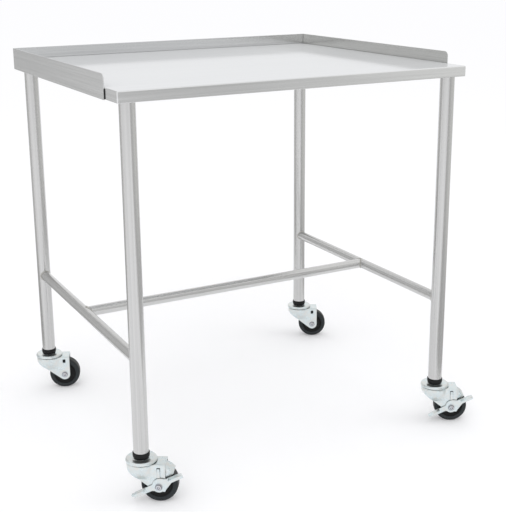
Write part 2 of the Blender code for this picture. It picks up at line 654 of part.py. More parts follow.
def lever_mesh():
    """Stamped double pedal lever, flat against the fork leg, turned to its stored tilt."""
    inner = FORK_OUTER + SEAM
    edge = inner + PEDAL_DEPTH - PEDAL_CORNER
    plate = prism("lever_plate", lever_outline(), inner, inner + LEVER_SHEET, SIDE_VIEW)
    steps = []
    for side in (-1, 1):
        low, high = sorted((side * (LEVER_REACH - PEDAL_LENGTH), side * LEVER_REACH))
        pad = [(low, inner), (high, inner)]
        pad += arc((high - PEDAL_CORNER, edge), PEDAL_CORNER, 0, 90, 3)
        pad += arc((low + PEDAL_CORNER, edge), PEDAL_CORNER, 90, 180, 3)
        mirrored = Matrix.Scale(-1, 4, (0, 1, 0))
        shelf = prism("pedal", pad, LEVER_ARM_TOP - LEVER_SHEET, LEVER_ARM_TOP, mirrored)
        steps.append(("UNION", shelf))
    steps.append(("DIFFERENCE", hole_through_sides("lever_hole", 0.0, 0.0, AXLE_RADIUS + RUNNING_GAP)))
    mesh = carved("brake_lever", plate, steps)
    mesh.transform(Matrix.Rotation(math.radians(-LEVER_TILT), 4, "Y"))
    return mesh


def saddle_point(radius, angle):
    """Place of the saddle's curve beside the axle, at an angle behind the top of the wheel."""
    a = math.radians(angle)
    return radius * math.sin(a) - SHOE_LEAD, radius * math.cos(a) + SHOE_LIFT


def shoe_section(angle):
    """Saddle section at an angle behind the top of the wheel: a channel open towards the tread."""
    inner_r = WHEEL_RADIUS + SHOE_GAP
    outer_r = inner_r + SHOE_SHEET
    skirt_r = inner_r - SHOE_SKIRT
    inner_y = WHEEL_WIDTH / 2 + SHOE_SIDE_GAP
    outer_y = inner_y + SHOE_SHEET
    chamfer = SHOE_SHEET
    section = [
        (skirt_r, outer_y), (outer_r - chamfer, outer_y), (outer_r, outer_y - chamfer),
        (outer_r, chamfer - outer_y), (outer_r - chamfer, -outer_y), (skirt_r, -outer_y),
        (skirt_r, -inner_y), (inner_r, -inner_y), (inner_r, inner_y), (skirt_r, inner_y),
    ]
    places = [saddle_point(r, angle) for r, y in section]
    return [Vector((x, y, z)) for (x, z), (r, y) in zip(places, section)]


def shoe_mesh():
    """Brake shoe: saddle over the tread, side plate, ears in the fork's windows, follower, and fulcrum."""
    steps_round = 8
    angles = [SHOE_START + (SHOE_END - SHOE_START) * i / steps_round for i in range(steps_round + 1)]
    saddle = loft("shoe_saddle", [shoe_section(a) for a in angles])
    half = FOLLOWER_WIDTH / 2
    middle = WHEEL_RADIUS + SHOE_GAP + SHOE_LIFT
    ear_low = middle - SHOE_SKIRT + SEAM
    ear_top = WINDOW_TOP - WINDOW_EASE - WHEEL_RADIUS
    ear_inner = WHEEL_WIDTH / 2 + SHOE_SIDE_GAP + SHOE_SHEET / 2
    strip_inner = FORK_OUTER + SEAM
    strip_outer = strip_inner + SHOE_SHEET
    strip_low = cam_radius(90 - LEVER_TILT) + FOLLOWER_GAP
    ear = [(-half, ear_low), (half, ear_low), (half, ear_top), (-half, ear_top)]
    strip = [(-half, strip_low), (half, strip_low), (half, ear_top), (-half, ear_top)]
    x, crown = SHOE_PIVOT
    back = x + SHOE_LEAD
    ridge_low = math.sqrt((WHEEL_RADIUS + SHOE_GAP) ** 2 - back ** 2) + SHOE_LIFT + SHOE_SHEET / 2
    foot = FULCRUM_WIDTH / 2
    ridge = [(x - foot, ridge_low), (x + foot, ridge_low), (x + foot / 2, crown), (x - foot / 2, crown)]
    ridge_half = WHEEL_WIDTH / 2
    front = saddle_point(SHOE_PLATE_RADIUS, SHOE_PLATE_START)
    rear = saddle_point(SHOE_PLATE_RADIUS, SHOE_PLATE_END)
    plate = [(front[0], SHOE_PLATE_FOOT), (rear[0], SHOE_PLATE_FOOT + SHOE_PLATE_RISE), rear, front]
    plate_inner = WHEEL_WIDTH / 2 + SHOE_SIDE_GAP + SHOE_PLATE_INSET
    plate_outer = plate_inner + SHOE_SHEET - 2 * SHOE_PLATE_INSET
    steps = [
        ("UNION", prism("side_plate", plate, plate_inner, plate_outer, SIDE_VIEW)),
        ("UNION", prism("near_ear", ear, ear_inner, strip_outer, SIDE_VIEW)),
        ("UNION", prism("far_ear", ear, -FORK_OUTER, -ear_inner, SIDE_VIEW)),
        ("UNION", prism("follower", strip, strip_inner, strip_outer, SIDE_VIEW)),
        ("UNION", prism("fulcrum", ridge, -ridge_half, ridge_half, SIDE_VIEW)),
    ]
    mesh = carved("brake_shoe", saddle, steps)
    mesh.transform(Matrix.Translation((-x, 0.0, -crown)))
    return mesh


def add_casters():
    """Four casters: the fixed stack under each leg, the swivelling fork, and the wheel on its axle."""
    fixed = {
        "stem": (stem_mesh(), ZINC),
        "expander": (expander_mesh(), SOFT_RUBBER),
        "raceway_cap": (raceway_mesh(), ZINC),
        "swivel_bearing": (bearing_mesh(), STEEL),
    }
    fork = fork_mesh()
    wheel = wheel_mesh()
    bushing = bushing_mesh()
    nut = axle_nut_mesh()
    bolts = {brake: axle_bolt_mesh(brake) for brake in (False, True)}
    lever = lever_mesh()
    shoe = shoe_mesh()
    for name, caster in CASTERS.items():
        x, y = leg_place(caster)
        for piece, (mesh, finish) in fixed.items():
            place(name + "_" + piece, mesh, finish, (x, y, 0.0))
        swivel = empty(name + "_swivel_axis", (x, y, 0.0), turn=math.radians(caster["turn"]))
        axle = empty(name + "_axle_axis", (TRAIL, 0.0, WHEEL_RADIUS), swivel)
        place(name + "_fork", fork, ZINC, parent=swivel)
        place(name + "_wheel", wheel, HARD_RUBBER, parent=axle)
        place(name + "_wheel_bushing", bushing, STEEL, parent=axle)
        place(name + "_axle_bolt", bolts[caster["brake"]], ZINC, parent=axle)
        place(name + "_axle_nut", nut, ZINC, parent=axle)
        if caster["brake"]:
            pivot = (TRAIL + SHOE_PIVOT[0], 0.0, WHEEL_RADIUS + SHOE_PIVOT[1])
            fulcrum = empty(name + "_shoe_axis", pivot, swivel)
            place(name + "_brake_lever", lever, ZINC, parent=axle)
            place(name + "_brake_shoe", shoe, ZINC, parent=fulcrum)


def main():
    clear_scene()
    add_worktop()
    add_guards()
    add_channels()
    add_legs()
    add_braces()
    add_casters()


main()
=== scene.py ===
"""Looks of a mobile stainless instrument table: satin steel pan and guards, tubular legs, zinc casters."""
import json
import math

import bmesh
import bpy
from bpy.props import FloatProperty, FloatVectorProperty, IntProperty, PointerProperty
from mathutils import Matrix, Vector


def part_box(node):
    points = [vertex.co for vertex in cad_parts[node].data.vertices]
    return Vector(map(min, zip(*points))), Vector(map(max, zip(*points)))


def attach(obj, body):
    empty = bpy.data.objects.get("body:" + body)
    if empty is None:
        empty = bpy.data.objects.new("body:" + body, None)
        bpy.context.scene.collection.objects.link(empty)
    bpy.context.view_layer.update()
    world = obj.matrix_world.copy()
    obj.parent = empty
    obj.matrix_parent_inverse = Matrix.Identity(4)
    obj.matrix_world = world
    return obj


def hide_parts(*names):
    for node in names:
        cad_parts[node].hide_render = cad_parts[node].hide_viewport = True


bl_info = {
    "name": "Instrument Table Looks",
    "version": (1, 0, 0),
    "blender": (4, 5, 0),
    "location": "3D View > Sidebar > Instrument Table",
    "description": "Dresses a stainless instrument table on swivel casters",
    "category": "Object",
}

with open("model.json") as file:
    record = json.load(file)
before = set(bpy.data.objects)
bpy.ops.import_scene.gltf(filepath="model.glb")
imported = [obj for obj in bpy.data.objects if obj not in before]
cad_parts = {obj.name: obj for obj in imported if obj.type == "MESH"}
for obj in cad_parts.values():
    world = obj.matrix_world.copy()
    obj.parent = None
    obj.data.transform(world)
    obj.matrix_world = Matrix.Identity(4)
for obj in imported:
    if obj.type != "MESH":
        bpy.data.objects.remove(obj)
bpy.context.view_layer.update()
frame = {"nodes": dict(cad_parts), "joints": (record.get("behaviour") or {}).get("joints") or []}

# Places that the frame gives
PAN_LOW, PAN_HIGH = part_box("worktop")
JOINTS = {joint["name"]: joint for joint in frame["joints"]}
CASTERS = ("front_left", "front_right", "rear_left", "rear_right")
BRAKED = CASTERS[:2]

# Fits and fineness that several pieces share
SEAM = 0.0003           # gap between two pieces that bear on each other
STRIP_CORNER = 0.0006   # corner radius of a guard's strip
SHADOW_BEAD_BITE = 0.0002      # lap of the black bead of painted shadow onto the guard's end
FORK_GAP = 0.004        # from the wheel's side to the fork's inner face
AXLE_HOLE = 0.0043      # radius of the holes for the axle
WINDOW_DROP = 0.0035    # top of the fork's window below the crown
SHOE_GAP = 0.0004       # from the wheel's tread to the brake shoe
SHOE_SKIRT = 0.0058     # depth of the shoe's sides below its back
SHOE_LIFT = 0.0016      # centre of the shoe's curve above the axle
SHOE_SIDE = 0.0013      # from the wheel's side to the shoe's inner face
ON_AXIS = 0.00002       # radius at which a turned solid closes on its axis
SHARP = 38.0            # angle in degrees from which an edge stays sharp
FORK_STATIONS = 48      # steps along each side of a fork's section
BOWL_FALL = 2.2         # powers by which the fork's bowl flattens downwards
BOWL_SWELL = 1.15
FRONT_CREASE = 0.004    # blends of the bowl into the fork's front and into its legs
SIDE_CREASE = 0.0022
LEAST_BLEND = 0.00001


def length_of(name, description, default):
    return FloatProperty(name=name, description=description, default=default, unit="LENGTH")


def colour_of(name, description, default):
    return FloatVectorProperty(name=name, description=description, default=default, subtype="COLOR")


# Sizes and colours a user would change
class SheetLooks(bpy.types.PropertyGroup):
    thickness: length_of("Sheet", "Thickness of the pan and the guards", 0.0015)
    bend: length_of("Bend", "Outer bend radius along the pan's top edge", 0.003)
    corner: length_of("Corner", "Ground radius of the pan's upright corners", 0.0022)
    lip: length_of("Lip", "Return lip under the apron", 0.008)
    edge: length_of("Edge", "Rounding of cut sheet edges", 0.0004)
    guard_corner: length_of("Guard corner", "Radius of a side guard's front corner", 0.010)
    # Black bead at a side guard's front end: a painted shadow standing in for the shadow gap there
    seal: length_of("Seal", "Bead of sealant at the front of a side guard", 0.0016)
    colour: colour_of("Steel", "Colour of the satin steel", (0.755, 0.76, 0.76))
    # Painted shade: the darker, cooler grey laid on the steel's upward faces
    top_shade_colour: colour_of("Level steel", "Cooler grey that level steel leans to", (0.685, 0.70, 0.73))
    tube_colour: colour_of("Tube steel", "Colour of the polished tubes", (0.60, 0.60, 0.595))


class TubeLooks(bpy.types.PropertyGroup):
    sides: IntProperty(name="Sides", description="Facets round a tube", default=72, min=12)
    wall: length_of("Wall", "Tube wall", 0.0015)
    bead: length_of("Bead", "Radius of a weld bead", 0.0016)
    ripples: IntProperty(name="Ripples", description="Ripples along one weld bead", default=26)


class CasterLooks(bpy.types.PropertyGroup):
    trail: length_of("Trail", "Axle behind the stem", 0.0375)
    wheel: length_of("Wheel", "Wheel diameter", 0.0762)
    tread: length_of("Tread", "Wheel width", 0.0285)
    crown: length_of("Crown", "Underside of the fork's crown above the floor", 0.0827)
    sheet: length_of("Fork sheet", "Thickness of the fork", 0.0028)
    bowl: length_of("Bowl", "Diameter of the fork's bowl", 0.062)
    bowl_depth: length_of("Bowl depth", "Height over which the bowl flattens", 0.0325)
    tail: length_of("Tail", "Crown beyond the axle", 0.0135)
    zinc: colour_of("Zinc", "Colour of the zinc plating", (0.74, 0.785, 0.79))
    rubber: colour_of("Rubber", "Colour of the wheels", (0.010, 0.012, 0.013))


class BrakeLooks(bpy.types.PropertyGroup):
    sheet: length_of("Lever sheet", "Thickness of the lever", 0.0025)
    tilt: FloatProperty(name="Tilt", description="Lever's arms above the level", default=math.radians(26),
                        subtype="ANGLE")
    reach: length_of("Reach", "Pivot to pedal tip", 0.056)
    pedal: length_of("Pedal", "Length of a pedal", 0.029)
    depth: length_of("Depth", "Depth of a pedal", 0.014)
    shoe_sheet: length_of("Shoe sheet", "Thickness of the shoe", 0.0016)


class StudioLooks(bpy.types.PropertyGroup):
    lens: FloatProperty(name="Lens", description="Focal length on a 36 mm sensor", default=69.694)
    floor: colour_of("Floor", "Colour of the floor", (0.90, 0.90, 0.915))
    glow: FloatProperty(name="Glow", description="Light that the floor adds for the camera", default=0.12)
    flag: colour_of("Flags", "Grey of the studio walls", (0.61, 0.61, 0.61))
    flag_right: colour_of("Right flag", "Grey they lighten to at the right", (0.80, 0.80, 0.79))
    flag_near: length_of("Flag start", "Distance at which a flag's floor strip starts", 0.75)
    flag_far: length_of("Flag distance", "Distance of the studio walls", 3.0)
    flag_height: length_of("Flag height", "Height of the studio walls", 2.4)
    key: FloatProperty(name="Key", description="Power of the key lamp", default=30.0, unit="POWER")
    fill: FloatProperty(name="Fill", description="Power of the fill lamp", default=14.0, unit="POWER")
    sky: FloatProperty(name="Sky", description="Level of the surrounding light", default=0.96)


# Mesh helpers
def corner_path(points, steps=4):
    """Outline with each (u, v, radius) corner rounded."""
    path = []
    count = len(points)
    for i, (u, v, radius) in enumerate(points):
        here = Vector((u, v))
        before = Vector(points[i - 1][:2]) - here
        after = Vector(points[(i + 1) % count][:2]) - here
        if radius <= 0 or before.length == 0 or after.length == 0:
            path.append((u, v))
            continue
        half = before.angle(after) / 2
        cut = min(radius / max(math.tan(half), 0.05), 0.48 * before.length, 0.48 * after.length)
        first = here + before.normalized() * cut
        last = here + after.normalized() * cut
        for k in range(steps + 1):
            t = k / steps
            path.append(tuple(first * (1 - t) ** 2 + here * 2 * t * (1 - t) + last * t * t))
    return path


def slab(left, low, right, high, round_low, round_high):
    """Corners of a rectangle, its lower and its upper ones rounded apart."""
    return [(left, low, round_low), (right, low, round_low), (right, high, round_high),
            (left, high, round_high)]


def arc(centre, radius, start, end, steps):
    """Points on an arc, angles in degrees."""
    angles = [math.radians(start + (end - start) * i / steps) for i in range(steps + 1)]
    return [(centre[0] + radius * math.cos(a), centre[1] + radius * math.sin(a)) for a in angles]


def inset(outline, distance):
    """Outline moved inwards, its points in anticlockwise order."""
    count = len(outline)
    area = sum(outline[i - 1][0] * outline[i][1] - outline[i][0] * outline[i - 1][1] for i in range(count))
    sign = 1 if area > 0 else -1
    moved = []
    for i in range(count):
        before = Vector(outline[i]) - Vector(outline[i - 1])
        after = Vector(outline[(i + 1) % count]) - Vector(outline[i])
        before.normalize()
        after.normalize()
        normal = Vector((-before.y - after.y, before.x + after.x)) * sign
        scale = distance / max(normal.length ** 2 / 2, 0.35)
        moved.append((outline[i][0] + normal.x * scale, outline[i][1] + normal.y * scale))
    return moved


def linked(name, data):
    """New object in the scene."""
    made = bpy.data.objects.new(name, data)
    bpy.context.collection.objects.link(made)
    return made


def evaluated(helpers, name):
    """Mesh of the first helper with its modifiers, after which the helpers are removed."""
    view = bpy.context.evaluated_depsgraph_get()
    mesh = bpy.data.meshes.new_from_object(helpers[0].evaluated_get(view), preserve_all_data_layers=True,
                                           depsgraph=view)
    mesh.name = name
    for helper in helpers:
        bpy.data.objects.remove(helper, do_unlink=True)
    return mesh


def finished(bm, name, sharp=SHARP):
    """Mesh with outward normals, smooth below the given angle, its large faces shaded flat."""
    bmesh.ops.recalc_face_normals(bm, faces=bm.faces)
    mesh = bpy.data.meshes.new(name)
    bm.to_mesh(mesh)
    bm.free()
    mesh.shade_smooth()
    mesh.set_sharp_from_angle(angle=math.radians(sharp))
    helper = linked(name, mesh)
    flats = helper.modifiers.new("flats", "WEIGHTED_NORMAL")
    flats.keep_sharp = True
    return evaluated([helper], name)


def loft(name, loops, closed=False, axes=None, sharp=SHARP):
    """Skin equal loops in order, capped unless the last joins the first."""
    bm = bmesh.new()
    rings = [[bm.verts.new(point) for point in loop] for loop in loops]
    pairs = list(zip(rings, rings[1:]))
    if closed:
        pairs.append((rings[-1], rings[0]))
    else:
        bm.faces.new(rings[0])
        bm.faces.new(rings[-1])
    for lower, upper in pairs:
        count = len(lower)
        for i in range(count):
            j = (i + 1) % count
            bm.faces.new((lower[i], lower[j], upper[j], upper[i]))
    if axes is not None:
        bmesh.ops.transform(bm, matrix=axes, verts=bm.verts)
    return finished(bm, name, sharp)


def prism(name, outline, low, high, axes):
    """The outline drawn straight from one height to the other."""
    return loft(name, [[Vector((u, v, w)) for u, v in outline] for w in (low, high)], axes=axes)


def ring(radius, height, sides):
    angles = [2 * math.pi * i / sides for i in range(sides)]
    return [Vector((radius * math.cos(a), radius * math.sin(a), height)) for a in angles]


def turned(name, profile, sides, bored=False, axes=None, sharp=SHARP):
    """Turn (radius, height) points about Z."""
    return loft(name, [ring(max(r, ON_AXIS), z, sides) for r, z in profile], bored, axes, sharp)


def plate(name, corners, low, high, axes=None, edge=0.0004):
    """Flat sheet part with rounded edges, cut to the outline of the corners."""
    outline = corner_path(corners)
    steps = 3
    loops = []
    for k in range(steps + 1):
        a = math.pi / 2 * k / steps
        loops.append((edge * (1 - math.sin(a)), low + edge * (1 - math.cos(a))))
    loops += [(moved, low + high - z) for moved, z in reversed(loops)]
    skins = [[Vector((u, v, z)) for u, v in inset(outline, moved)] for moved, z in loops]
    return loft(name, skins, axes=axes)


def carved(name, base, steps, bevel=0.0, sharp=SHARP):
    """Mesh of the base after each (operation, tool mesh), with its sharp edges rounded."""
    helpers = [linked(name + "_base", base)]
    for operation, tool in steps:
        helper = linked(name + "_tool", tool)
        cut = helpers[0].modifiers.new("cut", "BOOLEAN")
        cut.operation = operation
        cut.object = helper
        helpers.append(helper)
    mesh = evaluated(helpers, name + "_cut")
    stale = mesh.attributes.get("custom_normal")
    if stale is not None:
        mesh.attributes.remove(stale)
    bm = bmesh.new()
    bm.from_mesh(mesh)
    bmesh.ops.remove_doubles(bm, verts=bm.verts, dist=0.00001)
    bmesh.ops.dissolve_limit(bm, angle_limit=math.radians(1.0), verts=bm.verts, edges=bm.edges)
    if bevel > 0:
        keen = [e for e in bm.edges if len(e.link_faces) == 2 and e.calc_face_angle(0) > math.radians(sharp)]
        bmesh.ops.bevel(bm, geom=keen, offset=bevel, segments=2, affect="EDGES", profile=0.5,
                        clamp_overlap=True)
    return finished(bm, name, sharp)


# Drawings seen from the side have u along x, those seen from the end have u along y, and v is up in both
SIDE_VIEW = Matrix(((1, 0, 0, 0), (0, 0, -1, 0), (0, 1, 0, 0), (0, 0, 0, 1)))
END_VIEW = Matrix(((0, 0, 1, 0), (1, 0, 0, 0), (0, 1, 0, 0), (0, 0, 0, 1)))
ALONG_Y = Matrix.Rotation(math.radians(90), 4, "X")


def placed(name, mesh, look, replaces=(), matrix=None, body="table_frame"):
    """One piece of the table, riding on its body and standing for its nodes."""
    piece = linked(name, mesh)
    if matrix is not None:
        piece.matrix_world = matrix
    if not mesh.materials:
        mesh.materials.append(look)
    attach(piece, body)
    if replaces:
        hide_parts(*replaces)
    return piece


def outfit(rows, place, casters=CASTERS):
    """Each caster's piece for each row of label, mesh, look, slot, body and node. Its name fills the {}."""
    for name in casters:
        for label, mesh, look, slot, body, node in rows:
            placed(f"{name}_{label}", mesh, look, [f"{name}_{node}"], place(name), body.format(name))


def dress(node, look):
    """Put a finish on a node of the frame that keeps its own shape."""
    piece = frame["nodes"][node]
    piece.data.materials.clear()
    piece.data.materials.append(look)


def stem_place(name):
    """Matrix of the floor under a caster's stem, not turned with it."""
    stem = Vector(JOINTS[name + "_swivel_turn"]["pos_m"])
    return Matrix.Translation((stem.x, stem.y, 0.0))


def caster_place(name):
    """Matrix of a caster's own frame: stem on Z at x = 0, wheel trailing along +x."""
    stem = Vector(JOINTS[name + "_swivel_turn"]["pos_m"])
    axle = Vector(JOINTS[name + "_wheel_spin"]["pos_m"])
    turn = math.atan2(axle.y - stem.y, axle.x - stem.x)
    return stem_place(name) @ Matrix.Rotation(turn, 4, "Z")


def axle_place(name):
    """Matrix of a caster's own frame, moved to the middle of its axle."""
    c = bpy.context.scene.caster_looks
    return caster_place(name) @ Matrix.Translation((c.trail, 0, c.wheel / 2))


# Shader helpers
def arithmetic(operation, swapped=False):
    """Operator of a wire, which adds a Math node."""
    def apply(wire, other):
        values = (other, wire) if swapped else (wire, other)
        return wire.finish.math(operation, *values)
    return apply


class Wire:
    """A node's output, on which arithmetic adds Math nodes."""

    def __init__(self, finish, socket):
        self.finish = finish
        self.socket = socket

    __add__ = __radd__ = arithmetic("ADD")
    __sub__ = arithmetic("SUBTRACT")
    __rsub__ = arithmetic("SUBTRACT", swapped=True)
    __mul__ = __rmul__ = arithmetic("MULTIPLY")
    __truediv__ = arithmetic("DIVIDE")
    __pow__ = arithmetic("POWER")

    def __abs__(self):
        return self.finish.math("ABSOLUTE", self)


class Finish:
    """A material, or the world, built from nodes."""

    def __init__(self, name, world=False):
        pool = bpy.data.worlds if world else bpy.data.materials
        self.data = pool.new(name)
        self.data.use_nodes = True
        self.tree = self.data.node_tree
        self.tree.nodes.clear()

    def node(self, kind, inputs=None, output=0, stops=(), **settings):
        """Add a node with its settings and the stops of its ramp, then its inputs, and return one output."""
        made = self.tree.nodes.new(kind)
        for key, value in settings.items():
            setattr(made, key, value)
        if stops:
            ramp = made.color_ramp.elements
            while len(ramp) < len(stops):
                ramp.new(0.5)
            for stop, (place, colour) in zip(ramp, stops):
                stop.position = place
                stop.color = colour
        for key, value in (inputs or {}).items():
            if isinstance(value, Wire):
                self.tree.links.new(value.socket, made.inputs[key])
            else:
                made.inputs[key].default_value = value
        return Wire(self, made.outputs[output]) if made.outputs else None

    def split(self, vector):
        """The three components of a vector."""
        first = self.node("ShaderNodeSeparateXYZ", {0: vector})
        return [Wire(self, socket) for socket in first.socket.node.outputs]

    def sight(self):
        """1 for camera, glossy and transmission rays, 0 for the rest."""
        rays = self.node("ShaderNodeLightPath").socket.node.outputs
        camera, glossy, through = (Wire(self, rays[f"Is {kind} Ray"])
                                   for kind in ("Camera", "Glossy", "Transmission"))
        return self.clamp(camera + glossy + through)

    def math(self, operation, *values):
        return self.node("ShaderNodeMath", dict(enumerate(values)), operation=operation)

    def clamp(self, value):
        return self.node("ShaderNodeClamp", {"Value": value})

    def place(self):
        return self.node("ShaderNodeTexCoord", output=3)

    def facing(self):
        """The surface's own normal."""
        return self.node("ShaderNodeTexCoord", output=1)

    def stretched(self, vector, scale):
        return self.node("ShaderNodeVectorMath", {0: vector, 1: scale}, operation="MULTIPLY")

    def noise(self, vector, scale, detail=3.0, rough=0.55):
        inputs = {"Vector": vector, "Scale": scale, "Detail": detail, "Roughness": rough}
        return self.node("ShaderNodeTexNoise", inputs)

    def band(self, value, low, high):
        """0 below low, 1 above high."""
        inputs = {"Value": value, "From Min": low, "From Max": high}
        return self.node("ShaderNodeMapRange", inputs, interpolation_type="SMOOTHSTEP")

    def tint(self, factor, first, second):
        inputs = {0: factor}
        for key, colour in ((6, first), (7, second)):
            inputs[key] = colour if isinstance(colour, Wire) else (*colour, 1.0)
        return self.node("ShaderNodeMix", inputs, 2, data_type="RGBA")

    def crevice(self, distance):
        """0 where a surface is shut in by others nearer than the distance, 1 in the open; the finishes use
        it to paint shade in corners.
        """
        open_air = self.node("ShaderNodeAmbientOcclusion", {"Distance": distance}, 1, samples=8)
        return self.band(open_air, 0.15, 0.85)

    def bump(self, height, distance, strength):
        inputs = {"Height": height, "Distance": distance, "Strength": strength}
        return self.node("ShaderNodeBump", inputs)

    def mixed(self, factor, first, second):
        return self.node("ShaderNodeMixShader", {0: factor, 1: first, 2: second})

    def surface(self, **inputs):
        """Principled shader, wired to the output."""
        names = {key.replace("_", " "): value for key, value in inputs.items()}
        for key, value in names.items():
            if isinstance(value, tuple) and len(value) == 3:
                names[key] = (*value, 1.0)
        shader = self.node("ShaderNodeBsdfPrincipled", names)
        self.node("ShaderNodeOutputMaterial", {"Surface": shader})
        return self.data


LOOKS = {}
WHITE = (1.0, 1.0, 1.0, 1.0)
# Painted shade for steel faces towards -x
PAINTED_SIDE_SHADE = (0.31, 0.30, 0.25)
# Painted shade for zinc in corners shut in by nearby parts
PAINTED_CREVICE_SHADE = (0.12, 0.125, 0.13)
DUST = (0.15, 0.145, 0.135)


def shade(colour, factor):
    return tuple(min(1.0, c * factor) for c in colour)


def once(build):
    """Make a finish on the first call with its name, and keep it for the next ones."""
    def kept(name, *values, **named):
        if name not in LOOKS:
            LOOKS[name] = build(Finish(name), *values, **named)
        return LOOKS[name]
    return kept


def grain_along(axis, along, across):
    """Noise scales of a grain that runs along the named axis."""
    return tuple(along if one == axis else across for one in "xyz")


@once
def brushed(f, colour, grain, rough=0.15, depth=0.000010, streaky=0.10, level=0.0, dull=0.0):
    """Satin stainless: scratches along one way, clouding and handling marks.

    Level makes it less metallic where it lies flat and paints a darker, cooler grey there as shade; the
    side-shade factor paints a darker grey as shade on its faces towards -x; corners shut in by nearby parts
    are painted darker as shade.
    """
    place = f.place()
    facing = f.split(f.facing())
    if grain[0] < grain[1]:
        # On faces that look along x, a grain along x runs along y
        ahead, across, upward = f.split(place)
        swapped = f.node("ShaderNodeCombineXYZ", {0: across, 1: ahead, 2: upward})
        end_face = f.band(abs(facing[0]), 0.6, 0.8)
        place = f.node("ShaderNodeMix", {0: end_face, 4: place, 5: swapped}, 1, data_type="VECTOR")

    def scratches(share, detail, softness):
        return f.noise(f.stretched(place, tuple(share * g for g in grain)), 1.0, detail, softness)

    fine = scratches(1.0, 2.0, 0.6)
    broad = scratches(0.16, 3.0, 0.6)
    wide = scratches(0.07, 3.0, 0.65)
    streaks = scratches(0.3, 2.0, 0.5)
    cloud = f.noise(place, 5.0, 2.0)
    marks = f.band(f.noise(place, 60.0, 5.0, 0.7), 0.62, 0.80)
    tone = f.clamp(broad * 0.6 + fine * 0.3 + wide * 0.6 + streaks * 1.2 - 0.85)
    lying = f.band(facing[2], 0.8, 0.97) * level
    steel = f.tint(tone, shade(colour, 1.0 - streaky), shade(colour, 1.0 + 0.6 * streaky))
    # Painted shade: upward faces lean to a darker, cooler grey and turn partly non-metallic
    steel = f.tint(lying, steel, tuple(bpy.context.scene.sheet_looks.top_shade_colour))
    # Painted shade: faces towards -x lean to a dark warm grey
    steel = f.tint(f.band(facing[0] * -1.0, 0.5, 0.9) * dull, steel, PAINTED_SIDE_SHADE)
    # Painted shade: corners shut in by nearby parts are darkened
    steel = f.tint(f.crevice(0.005), shade(colour, 0.5), steel)
    roughness = f.clamp(rough - 0.04 + fine * 0.05 + cloud * 0.03 + marks * 0.03 - lying * 0.11)
    return f.surface(Base_Color=steel, Metallic=f.clamp(1 - lying), Roughness=roughness,
                     Specular_IOR_Level=0.0, Normal=f.bump(fine * 0.7 + broad * 0.3, depth, 0.5))


@once
def zinc_plate(f, colour, rough=0.27, grooves=()):
    """Bright zinc plating: bluish with warmer clouds and small pits.

    Grooves are the radii about the axle at which dark rings of painted shade are laid; corners shut in by
    nearby parts are also painted darker as shade.
    """
    place = f.place()
    cloud = f.band(f.noise(place, 70.0, 3.0), 0.35, 0.68)
    spangle = f.noise(place, 420.0, 3.0, 0.6)
    pits = f.band(f.noise(place, 900.0, 2.0), 0.62, 0.75)
    warm = (colour[0] * 1.04, colour[1] * 0.985, colour[2] * 0.945)
    cool = (colour[0] * 0.95, colour[1] * 1.01, colour[2] * 1.035)
    wear_and_shade = f.tint(f.clamp(spangle * 0.5 + pits * 0.3), f.tint(cloud, cool, warm), shade(colour, 0.86))
    # Painted shade: corners shut in by nearby parts darken to near black
    wear_and_shade = f.tint(f.crevice(0.0035), PAINTED_CREVICE_SHADE, wear_and_shade)
    if grooves:
        ahead, _, upward = f.split(place)
        radius = (ahead * ahead + upward * upward) ** 0.5
    # Painted shade: a dark ring at each groove radius
    for groove in grooves:
        unshaded = f.band(abs(radius - groove), 0.0003, 0.0009)
        wear_and_shade = f.tint(unshaded, shade(colour, 0.3), wear_and_shade)
    roughness = f.clamp(rough - 0.04 + cloud * 0.07 + spangle * 0.08 + pits * 0.1)
    return f.surface(Base_Color=wear_and_shade, Metallic=1.0, Roughness=roughness,
                     Normal=f.bump(spangle * 0.6 + cloud * 0.5 - pits * 0.4, 0.00006, 0.6))


@once
def moulded_rubber(f, colour, rough=0.46, dust=0.0):
    """Hard black rubber: fine moulding texture, scuffs, and floor dust on the tread; on a wheel, painted
    shade darkens the dished face and painted light lightens the rim ring.
    """
    place = f.place()
    ahead, across, upward = f.split(place)
    radius = (ahead * ahead + upward * upward) ** 0.5
    tread = f.band(radius, 0.0352, 0.0378) * (1 - f.band(abs(across), 0.0095, 0.0135))
    # Painted shade in the wheel's dished face, painted light on its rim ring
    rim_light_and_dish_shade = f.tint(f.band(radius, 0.0260, 0.0282), shade(colour, 0.2), shade(colour, 2.4))
    base = f.tint(f.band(radius, 0.0355, 0.0372), rim_light_and_dish_shade, colour)
    grain = f.noise(place, 1500.0, 3.0, 0.6)
    scuff = f.band(f.noise(place, 160.0, 5.0, 0.65), 0.52, 0.74)
    dusty = f.clamp(tread * dust * (scuff * 0.7 + 0.3) + scuff * dust * 0.25)
    roughness = f.clamp(rough + dusty * 0.35 + scuff * 0.08)
    return f.surface(Base_Color=f.tint(dusty, base, DUST), Roughness=roughness, Metallic=0.0,
                     Specular_IOR_Level=0.24, Normal=f.bump(grain * 0.5 + scuff * 0.5, 0.00005, 0.5))


def satin(axis, dull=0.0):
    """Satin steel with its grain along the named axis, with painted shade on its upward faces and, by the
    side-shade factor, on its faces towards -x.
    """
    name = "satin_steel_" + axis + ("_dull" if dull else "")
    colour = tuple(bpy.context.scene.sheet_looks.colour)
    return brushed(name, colour, grain_along(axis, 9.0, 1500.0), streaky=0.16, level=0.54, dull=dull)


def tube_steel(axis):
    """Drawn tube, its soft streaks running along the named axis. The cross tube is painted a little
    brighter, as painted light.
    """
    colour = shade(bpy.context.scene.sheet_looks.tube_colour, 1.06 if axis == "x" else 1.0)
    return brushed("tube_steel_" + axis, colour, grain_along(axis, 4.0, 900.0), 0.24, 0.00002, 0.14)


def zinc():
    return zinc_plate("zinc_plate", tuple(bpy.context.scene.caster_looks.zinc))


